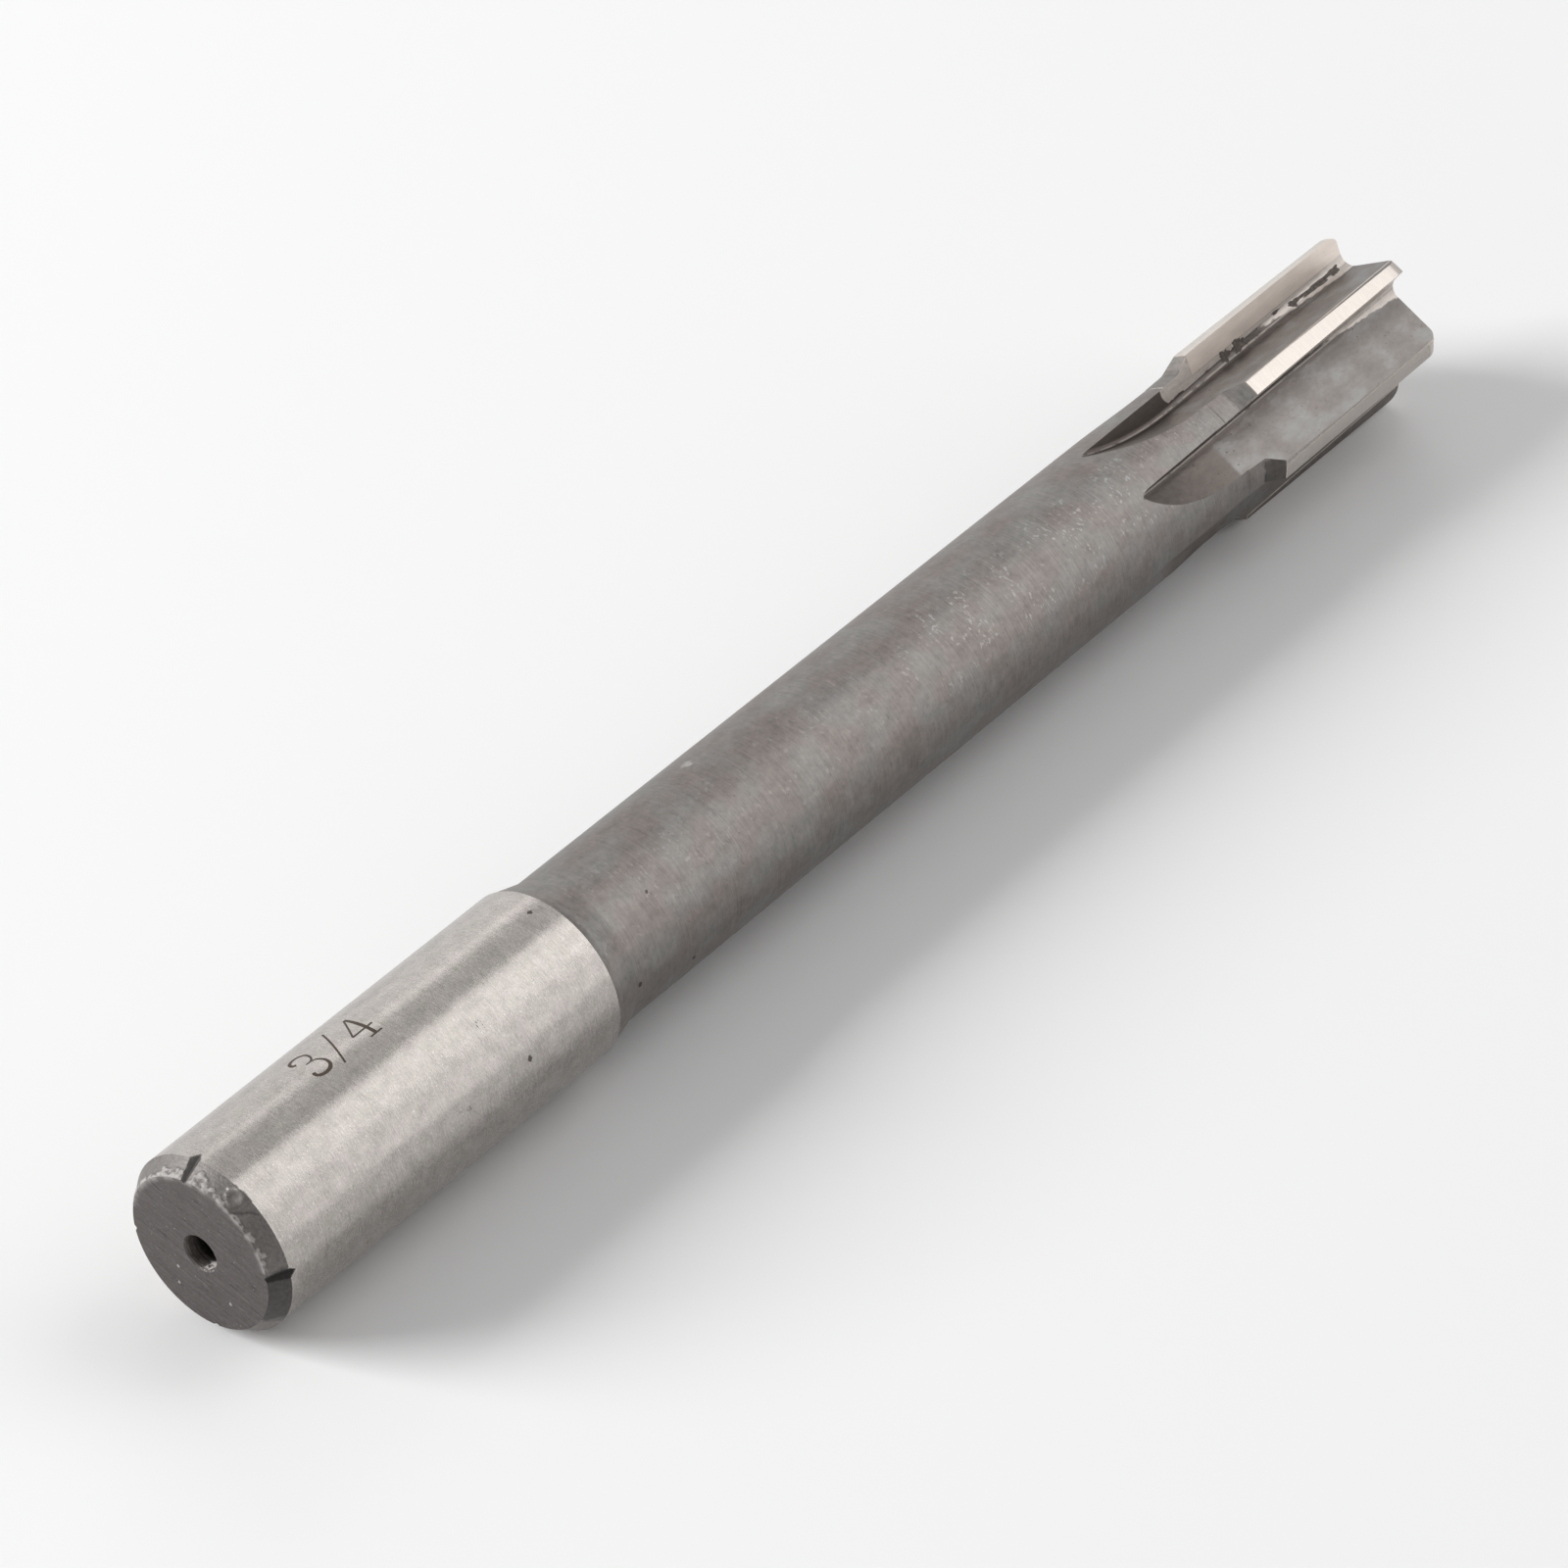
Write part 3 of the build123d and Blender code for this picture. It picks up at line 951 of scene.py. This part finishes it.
def ground_shank(look, sizes):
    """Bright ground steel: fine rings from the wheel, a mottled grain, specks and a few pits."""
    finish = Finish("ground_shank", look.shank)
    radius = sizes.shank_radius / MM
    rings = finish.noise(0.1, 1.2, detail=3)
    grain = finish.noise(0.16, 0.3, 11, detail=3, roughness=0.6)
    cloud = finish.noise(1.7, 1.2, 5, detail=4)
    finish.lay(finish.noise(1.6, 1.2, 23, detail=3).rise(0.42, 0.62), (0.43, 0.405, 0.375))
    finish.dim(0.13 + 0.5 * rings + 0.74 * grain + 0.46 * cloud)
    flecks = finish.noise(0.13, 0.26, 53, detail=1).rise(0.66, 0.74)
    finish.lay(flecks * 0.4, (0.82, 0.79, 0.76))
    specks = finish.noise(0.22, 0.3, 41).rise(0.71, 0.78) * cloud.rise(0.42, 0.6)
    finish.lay(specks * 0.5, (0.16, 0.13, 0.11))
    brown = finish.spot(12.3, 197, radius, 0.5) * grain.rise(0.4, 0.6)
    finish.lay(brown * 0.6, (0.28, 0.17, 0.08))
    pits = finish.spot(34.98, 161.8, radius, 0.3) + finish.spot(45.24, 93.3, radius, 0.28)
    pits += finish.spot(32.1, 127.3, radius, 0.9, 1.0) * grain.rise(0.55, 0.7)
    pits += finish.spot(26.6, 162.9, radius, 0.45, 1.0) * rings.rise(0.5, 0.6)
    finish.lay(pits.at_most(0.85), (0.05, 0.04, 0.035))
    return finish.surface(0.19 + 0.16 * grain, rings * 0.3 + grain * 0.8 - pits * 2, 0.008)


def turned_neck(look, sizes):
    """Dull turned steel: fine rings, pink and green tints, pits and one scuff.

    One side has painted light: it is made a little brighter, and bright lines and flecks lie there as
    painted highlights. The ramp before the strips is paler, with painted shade on one tooth.
    """
    finish = Finish("turned_neck", look.neck)
    radius = sizes.neck_radius / MM
    rings = finish.noise(0.16, 3.5, detail=3)
    grain = finish.noise(0.5, 0.6, 7, detail=4, roughness=0.6)
    cloud = finish.noise(5, 3.5, 3, detail=3)
    mottle = finish.noise(1.5, 1.1, 91, detail=3)
    finish.lay(cloud.rise(0.4, 0.62), (0.24, 0.23, 0.218))
    start, end = (station / MM for station in (STRIP_START - sizes.ramp_length, STRIP_START))
    ramp = finish.x.rise(start - 0.03, start + 0.03) * finish.x.rise(end, end - 0.06)
    # Painted shade on the ramp near turn 170 to 185 degrees.
    painted_ramp_shade = finish.spot((start + end) / 2, 177, 9, 2.0) * 0.58
    tone = 0.46 * rings + 0.64 * grain + 0.6 * cloud + 0.4 * mottle
    finish.dim(tone * (1 + 0.3 * ramp) * (1 - painted_ramp_shade))
    # Painted light: the side towards turn 122 degrees is made a little brighter.
    painted_neck_sheen = finish.side(122, 6.3, 7.8)
    finish.dim(0.93 + 0.22 * painted_neck_sheen)
    # Painted highlights: bright lines and flecks lie only on that brighter side.
    painted_glint_zone = (finish.x.rise(88, 108) * finish.x.rise(146, 128) * 0.6 + 0.4) * painted_neck_sheen
    lines = finish.noise(0.12, 5.0, 37, detail=1).rise(0.58, 0.7) * painted_glint_zone
    finish.lay(lines * 0.32, (0.46, 0.44, 0.42))
    dark = finish.noise(0.2, 0.45, 61, detail=1).rise(0.70, 0.77)
    finish.lay(dark * 0.45, (0.10, 0.085, 0.075))
    pits = finish.spot(51.2, 178, radius, 0.3) + finish.spot(59.3, 194, radius, 0.3)
    pits = pits * 0.8 + finish.spot(56.4, 128, radius, 0.2) * 0.7
    finish.lay(pits.at_most(0.8), (0.05, 0.045, 0.04))
    # Painted highlights in patches on the brighter side; the scuff below is a real mark.
    flecks = finish.noise(0.36, 0.6, 23).rise(0.56, 0.70) * painted_glint_zone
    flecks = flecks * finish.noise(3.4, 2.2, 31, detail=3).rise(0.46, 0.58)
    scuff = finish.spot(72.35, 68, radius, 0.8, 0.5) * grain.rise(0.4, 0.55)
    finish.lay(flecks * 0.5 + scuff * 0.4, (0.66, 0.65, 0.64))
    relief = rings * 0.3 + grain + flecks * 0.4 - pits * 2
    return finish.surface(0.43 + 0.12 * grain, relief, 0.016)


def milled_flute(look):
    """Milled and hardened steel: mottled, with tan run-outs, and a root that is dark behind and ground
    pale towards the cutting end. The dark root is partly unground steel and partly painted shade in
    the corner against the rake wall, and a thin bright line along the root fillet is a painted
    highlight.
    """
    finish = Finish("milled_flute", look.flute)
    grain = finish.noise(0.9, 0.5, 7, detail=4, roughness=0.6)
    cloud = finish.noise(3.2, 2.2, 19, detail=3)
    ahead = (finish.x + cloud * 0.3).rise(148.2, 148.8)
    finish.lay(cloud.rise(0.45, 0.65), (0.25, 0.243, 0.235))
    finish.lay(1 - ahead, look.run_out)
    finish.dim(0.45 + 0.6 * grain + 0.5 * cloud)
    brown = finish.noise(0.8, 0.6, 51, detail=3).rise(0.66, 0.74)
    finish.lay(brown * 0.6, (0.10, 0.075, 0.055))
    pits = finish.noise(0.35, 0.35, 71, detail=1).rise(0.76, 0.82)
    finish.lay(pits * 0.7, (0.04, 0.035, 0.03))
    # Flute floors on the side towards turn 160 degrees are made lighter.
    lighter_side = finish.side(160, 5.4, 7.4) * ahead
    finish.dim(0.94 + 0.38 * lighter_side)
    root = finish.attribute("root_depth")
    edge = finish.noise(1.2, 0.7, 13, detail=3)
    # Unground steel along the root, partly painted shade in the corner against the rake wall.
    finish.lay((root + edge * 0.9).rise(1.5, 1.1) * 0.65, look.unground)
    blotch = finish.noise(2.4, 1.3, 83, detail=4).rise(0.50, 0.58)
    blotch = blotch * root.rise(3.0, 1.2) * finish.x.rise(174, 162) * ahead
    finish.lay(blotch * 0.35, look.unground)
    ground = (root + edge * 0.7 - (finish.x - 167) * 0.09).rise(0.5, 0.3)
    finish.lay(ground, finish.shade(look.ground, 0.6 + 0.5 * grain))
    # Painted highlight: a thin bright line along the root fillet.
    forward = finish.x.rise(146, 182)
    line = abs(root - 0.2 - 0.25 * forward).rise(0.11, 0.05) * edge.rise(0.3, 0.5)
    finish.lay(line * 0.75, (0.42, 0.38, 0.35))
    return finish.surface(0.4 + 0.16 * grain, grain + cloud - pits * 0.6, 0.03)


def rake_wall(look):
    """Rake wall: pale and ground in front of the strips, dark and unground below and behind."""
    finish = Finish("rake_wall", look.unground, metallic=0.85)
    height = finish.attribute("wall_height")
    grain = finish.noise(0.7, 0.35, 7, detail=4, roughness=0.6)
    edge = finish.noise(1.4, 0.8, 13, detail=3)
    start = TOOL_END / MM - GROUND_LENGTH
    lower_front = finish.x.rise(158.0, 161.0) * 0.35
    above = (height + edge * 1.1 + lower_front).rise(6.98, 7.08)
    round_corner = (finish.x - (7.6 - height).at_least(0) ** 2 * 0.5).rise(start, start + 0.25)
    ground = above * round_corner
    finish.lay(ground, look.ground)
    finish.dim(0.68 + 0.4 * grain + 0.24 * edge)
    stain_and_painted_shade = finish.noise(1.1, 0.7, 37, detail=3).rise(0.6, 0.72)
    finish.lay(stain_and_painted_shade * ground * 0.35, (0.40, 0.30, 0.23))
    return finish.surface(0.46, grain + ground * 0.6, 0.025)


def hard_metal(look):
    """Rake faces and ends of the strips: cream, faintly stained, with fine grinding lines."""
    finish = Finish("hard_metal", look.carbide, metallic=0.8)
    lines = finish.noise(3.0, 0.12, detail=3)
    cloud = finish.noise(2.5, 1.2, 9, detail=3)
    finish.dim(0.74 + 0.22 * lines + 0.3 * cloud)
    stain_and_painted_shade = finish.noise(0.9, 0.6, 43, detail=3).rise(0.62, 0.76)
    finish.lay(stain_and_painted_shade * 0.35, (0.42, 0.34, 0.27))
    return finish.surface(0.38 + 0.14 * cloud, lines + cloud, 0.006)


def strip_land(look):
    """Ground lands of the strips: the brightest surface, almost even, and duller on the lead."""
    finish = Finish("strip_land", look.land)
    lines = finish.noise(0.25, 1.5)
    cloud = finish.noise(4.0, 1.0, 9)
    lead = finish.x.rise(180.4, 181.1)
    finish.dim(0.86 + 0.14 * lines + 0.14 * cloud)
    finish.lay(lead, (0.66, 0.60, 0.55))
    return finish.surface(0.22 + 0.08 * cloud + 0.3 * lead, lines, 0.003, 1 - 0.75 * lead)


def dull_back(look):
    """Backs of the strips: cut down with the flute behind them and left as dull as its floor."""
    finish = Finish("dull_back", look.flute)
    grain = finish.noise(0.9, 0.5, 7, detail=4, roughness=0.6)
    finish.dim(0.4 + 0.9 * grain)
    return finish.surface(0.5, grain, 0.02)


def braze_seam(look):
    """Braze ground flush with the strips: brownish and a little uneven."""
    finish = Finish("braze_seam", look.braze)
    grain = finish.noise(0.35, 0.35, 3, detail=4, roughness=0.65)
    finish.dim(0.5 + grain)
    return finish.surface(0.4 + 0.2 * grain, grain, 0.01)


def spilt_braze(look):
    """Oxidised braze and flux: dark, lumpy and dull."""
    finish = Finish("spilt_braze", look.spill, metallic=0.5)
    grain = finish.noise(0.35, 0.35, 3, detail=4, roughness=0.65)
    finish.lay(grain.rise(0.5, 0.7), (0.21, 0.17, 0.14))
    finish.dim(0.1 + 1.9 * grain)
    return finish.surface(0.5 + 0.3 * grain, grain, 0.05)


def sawn_face(look):
    """Dark end face: diagonal scratches, faint clouds and a few bright specks."""
    finish = Finish("sawn_face", look.end_face, metallic=0.75)
    across = finish.measure("DOT_PRODUCT", (0, -0.304, 0.953))
    along = finish.measure("DOT_PRODUCT", (0, 0.953, 0.304))
    lined = finish.node("ShaderNodeCombineXYZ", sockets={0: across, 1: along, 2: 0.0})
    scratches = finish.noise(0.12, 5.0, detail=3, place=lined).rise(0.3, 0.7)
    marks = finish.noise(0.2, 3.2, 29, place=lined).rise(0.62, 0.72)
    dark = finish.noise(0.3, 2.6, 47, place=lined).rise(0.60, 0.70)
    grain = finish.noise(0.4, 0.4, 5, detail=4, roughness=0.6)
    finish.dim(0.42 + 0.36 * scratches + 0.8 * grain - 0.3 * dark)
    finish.lay(marks * 0.45, (0.24, 0.225, 0.22))
    specks = finish.noise(0.25, 0.25, 17, detail=1).rise(0.70, 0.76) * 0.4
    for turn, radius in FACE_SPECKS:
        specks += finish.spot(0, turn, radius, 0.2, 0.6)
    finish.lay(specks.at_most(0.8), (0.5, 0.49, 0.48))
    finish.lay(finish.attribute("burr") * 0.7, look.burr)
    relief = scratches * 0.5 + marks - dark + grain * 0.6
    return finish.surface(0.5 + 0.12 * grain, relief, 0.04)


def turned_chamfer(look, name, base):
    """Dull end chamfer: faint turning rings, a bright torn burr and a scraped dent, with painted shade
    on its lower side, in the crease, in the flake's hollow and on the dent's far side, and a painted
    highlight on one side of the dent's rim.
    """
    finish = Finish(name, base)
    rings = finish.noise(0.1, 4.0)
    grain = finish.noise(0.35, 0.35, 5, detail=4, roughness=0.6)
    torn = finish.noise(0.5, 0.5, 9, detail=4)
    # Painted shade: the lower side of the chamfer, about turn 192 degrees, is darkened.
    stain_and_painted_shade = finish.spot(0.9, 192, 8.6, 4.2, 0.25) * 0.6
    finish.dim((0.35 + 0.3 * rings + grain) * (1 - stain_and_painted_shade))
    # Painted shade in the crease, in the flake's hollow and on the dent's far side.
    finish.lay(finish.attribute("painted_chamfer_shade") * 0.5, (0.035, 0.032, 0.03))
    bright = finish.attribute("burr").rise(0.1, 0.7) * torn.rise(0.34, 0.52) * 0.9
    finish.lay(bright, look.burr)
    # Painted highlight on one side of the dent's rim, and scraped metal in its middle.
    scrape_and_painted_highlight = finish.attribute("scrape_and_painted_highlight") * torn.rise(0.3, 0.55)
    finish.lay(scrape_and_painted_highlight * 0.9, look.burr)
    return finish.surface(0.55 + 0.2 * bright, rings * 0.3 + grain, 0.04, 0.6 - 0.2 * bright)


def drilled_bore(look, sizes):
    """Drilled hole: rings left by the drill, painted shade deeper inside, and one painted glint at its
    mouth.
    """
    finish = Finish("drilled_bore", look.bore)
    rings = finish.noise(0.28, 9.0, detail=1)
    grain = finish.noise(0.4, 0.4, 5, detail=3)
    # Painted shade: darker deeper inside the hole.
    finish.lay(finish.x.rise(0.4, 2.2), (0.07, 0.063, 0.06))
    finish.dim(0.5 + 0.5 * rings + 0.4 * grain)
    # Painted glint: a bright, less metallic spot at the mouth of the hole, on its lower side.
    painted_glint_zone = finish.spot(0.9, 252, sizes.shank_hole_radius / MM, 1.0, 0.7) * grain.rise(0.40, 0.55)
    finish.lay(painted_glint_zone * 0.9, (0.9, 0.85, 0.82))
    return finish.surface(0.3 + 0.1 * grain, rings + grain * 0.4, 0.07, 0.85 - 0.55 * painted_glint_zone)


def etched_mark(look):
    """Size mark: brown etching, a little uneven."""
    finish = Finish("etched_mark", look.mark, metallic=0.3)
    grain = finish.noise(0.15, 0.15, 3, detail=3)
    finish.dim(0.6 + 0.8 * grain)
    return finish.surface(0.6, grain, 0.01)


def plain_floor(look):
    """Plain pale floor."""
    material = bpy.data.materials.new("pale_floor")
    material.use_nodes = True
    shader = material.node_tree.nodes["Principled BSDF"]
    shader.inputs["Base Color"].default_value = (*look.floor, 1)
    shader.inputs["Roughness"].default_value = 0.9
    shader.inputs["Specular IOR Level"].default_value = 0.2
    return material


class REAMER_OT_body(bpy.types.Operator):
    """Build the steel body with its shank, neck, flutes and strip seats"""

    bl_idname = "reamer.body"
    bl_label = "Steel Body"

    def execute(self, context):
        sizes, look = context.scene.reamer_sizes, context.scene.reamer_look
        surface = BodySurface(sizes)
        points = surface.build()
        neck = turned_neck(look, sizes)
        materials = {
            "bore": drilled_bore(look, sizes),
            "end_face": sawn_face(look),
            "chamfer": turned_chamfer(look, "turned_chamfer", look.chamfer),
            "notch": turned_chamfer(look, "cut_notch", look.notch),
            "shank": ground_shank(look, sizes),
            "shoulder": neck,
            "neck": neck,
            "wall": rake_wall(look),
            "flute": milled_flute(look),
        }
        slots = {name: number for number, name in enumerate(materials)}
        start = points.shape[0] * points.shape[1]
        front, sectors = surface.front_face(start)
        hole = loop_grid(front, start)
        index = np.concatenate([
            surface.face_materials(slots),
            np.full(front.shape[1], slots["chamfer"]),
            np.full(len(hole) - front.shape[1], slots["bore"]),
            np.full(len(sectors), slots["chamfer"]),
        ])
        bare = np.zeros(front.shape[0] * front.shape[1])
        marks = {
            name: np.concatenate([values.ravel(), bare]) for name, values in surface.marks.items()
        }
        body = make_piece(
            "body_surface",
            np.concatenate([points.reshape(-1, 3), front.reshape(-1, 3)]),
            loop_grid(points) + hole + sectors,
            list(materials.values()),
            index,
            weld=MERGE,
            marks=marks,
        )
        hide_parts("reamer_body")
        return {"FINISHED"}


class REAMER_OT_strips(bpy.types.Operator):
    """Build the six hard-metal cutting strips, and finish the braze behind them"""

    bl_idname = "reamer.strips"
    bl_label = "Cutting Strips"

    def execute(self, context):
        sizes, look = context.scene.reamer_sizes, context.scene.reamer_look
        stations = BodySurface(sizes).head_x
        x = stations[stations >= STRIP_START - MERGE]
        # Slot 0 holds the rake faces and the ends, 1 the lands, and 2 the backs and feet
        materials = [hard_metal(look), strip_land(look), dull_back(look)]
        braze = braze_seam(look)
        for number in TEETH:
            points = across_tool(sizes, number, x[:, None], strip_section(sizes, number, x))
            finishes = np.zeros((points.shape[0] - 1, points.shape[1]), int)
            finishes[:, STRIP_LAND] = 1
            finishes[:, STRIP_BACK] = 2
            strip = make_piece(
                f"cutting_strip_{number + 1}",
                points,
                loop_grid(points) + end_caps(points),
                materials,
                np.concatenate([finishes.ravel(), [0, 0]]),
                weld=MERGE,
                sharp=14,
            )
            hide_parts(f"carbide_tip_{number + 1}")
            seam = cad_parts[f"braze_seam_{number + 1}"]
            seam.material_slots[0].material = braze
        return {"FINISHED"}


class REAMER_OT_spills(bpy.types.Operator):
    """Build the braze that ran out over the rake walls"""

    bl_idname = "reamer.spills"
    bl_label = "Braze Spills"

    def execute(self, context):
        sizes, look = context.scene.reamer_sizes, context.scene.reamer_look
        domes = [
            spill_points(sizes, number, *spill, seed=10 * number + place)
            for number, spills in SPILLS.items()
            for place, spill in enumerate(spills)
        ]
        points, faces = joined_loops(domes, caps=slice(1, 2))
        spilt = make_piece("braze_spills", points, faces, [spilt_braze(look)], weld=MERGE, sharp=60)
        return {"FINISHED"}


class REAMER_OT_mark(bpy.types.Operator):
    """Build the plain size mark on the shank"""

    bl_idname = "reamer.mark"
    bl_label = "Size Mark"

    def execute(self, context):
        sizes, look = context.scene.reamer_sizes, context.scene.reamer_look
        points, faces = joined_loops([mark_stroke(sizes, *stroke) for stroke in MARK_STROKES])
        mark = make_piece("size_mark", points, faces, [etched_mark(look)])
        return {"FINISHED"}


class REAMER_OT_stage(bpy.types.Operator):
    """Add the floor, the lamps, the world and the camera"""

    bl_idname = "reamer.stage"
    bl_label = "Stage"

    def execute(self, context):
        scene = context.scene
        signs = ((-1, -1), (1, -1), (1, 1), (-1, 1))
        mesh = bpy.data.meshes.new("floor")
        corners = [(FLOOR_HALF * across, FLOOR_HALF * along, FLOOR_Z) for across, along in signs]
        mesh.from_pydata(corners, [], [(0, 1, 2, 3)])
        mesh.materials.append(plain_floor(scene.reamer_look))
        floor = bpy.data.objects.new("floor", mesh)
        scene.collection.objects.link(floor)

        world = bpy.data.worlds.new("studio")
        world.use_nodes = True
        world.node_tree.nodes["Background"].inputs["Color"].default_value = (0.3, 0.3, 0.3, 1)
        scene.world = world
        for name, (turn, lean, sides, radiance) in LAMPS.items():
            scene.collection.objects.link(self.lamp(name, radians(turn), radians(lean), sides, radiance))

        data = bpy.data.cameras.new("camera")
        data.lens = FOCAL_LENGTH
        data.sensor_width = SENSOR_WIDTH
        data.clip_start = 0.01
        camera = bpy.data.objects.new("camera", data)
        turned = Matrix((CAMERA_RIGHT, CAMERA_UP, -CAMERA_FORWARD)).transposed().to_4x4()
        camera.matrix_world = Matrix.Translation(CAMERA_PLACE) @ turned
        scene.collection.objects.link(camera)
        scene.camera = camera
        scene.view_settings.view_transform = "Standard"
        return {"FINISHED"}

    def lamp(self, name, turn, lean, sides, radiance):
        """Rectangular soft light of a given radiance that faces the middle of the tool.

        It stands at a turn about the tool's axis and leans along it. Its first side runs along the
        tool and its second one around it.
        """
        light = bpy.data.lights.new(name, "AREA")
        light.shape = "RECTANGLE"
        light.size, light.size_y = sides
        light.energy = radiance * pi * sides[0] * sides[1]
        way = Vector((sin(lean), cos(lean) * cos(turn), cos(lean) * sin(turn)))
        around = Vector((0, -sin(turn), cos(turn)))
        turned = Matrix((around.cross(way), around, way)).transposed().to_4x4()
        place = Vector((TOOL_END / 2, 0, 0)) + way * LAMP_DISTANCE
        lamp = bpy.data.objects.new(name, light)
        lamp.matrix_world = Matrix.Translation(place) @ turned
        lamp.visible_camera = False
        return lamp


class REAMER_PT_panel(bpy.types.Panel):
    """Lists the reamer's operators, sizes and colours"""

    bl_idname = "REAMER_PT_panel"
    bl_label = "Machine Reamer"
    bl_space_type = "VIEW_3D"
    bl_region_type = "UI"
    bl_category = "Reamer"

    def draw(self, context):
        layout = self.layout
        for operator in OPERATORS:
            layout.operator(operator.bl_idname)
        for group in (context.scene.reamer_sizes, context.scene.reamer_look):
            box = layout.box()
            for name in group.bl_rna.properties.keys():
                if name not in ("rna_type", "name"):
                    box.prop(group, name)


OPERATORS = (REAMER_OT_body, REAMER_OT_strips, REAMER_OT_spills, REAMER_OT_mark, REAMER_OT_stage)
CLASSES = (ReamerSizes, ReamerLook, *OPERATORS, REAMER_PT_panel)


def register():
    for item in CLASSES:
        bpy.utils.register_class(item)
    bpy.types.Scene.reamer_sizes = PointerProperty(type=ReamerSizes)
    bpy.types.Scene.reamer_look = PointerProperty(type=ReamerLook)


def unregister():
    del bpy.types.Scene.reamer_look
    del bpy.types.Scene.reamer_sizes
    for item in reversed(CLASSES):
        bpy.utils.unregister_class(item)


def main():
    """Builds every piece and the stage."""
    register()
    bpy.ops.reamer.stage()
    bpy.ops.reamer.body()
    bpy.ops.reamer.strips()
    bpy.ops.reamer.spills()
    bpy.ops.reamer.mark()


if __name__ == "__main__":
    main()
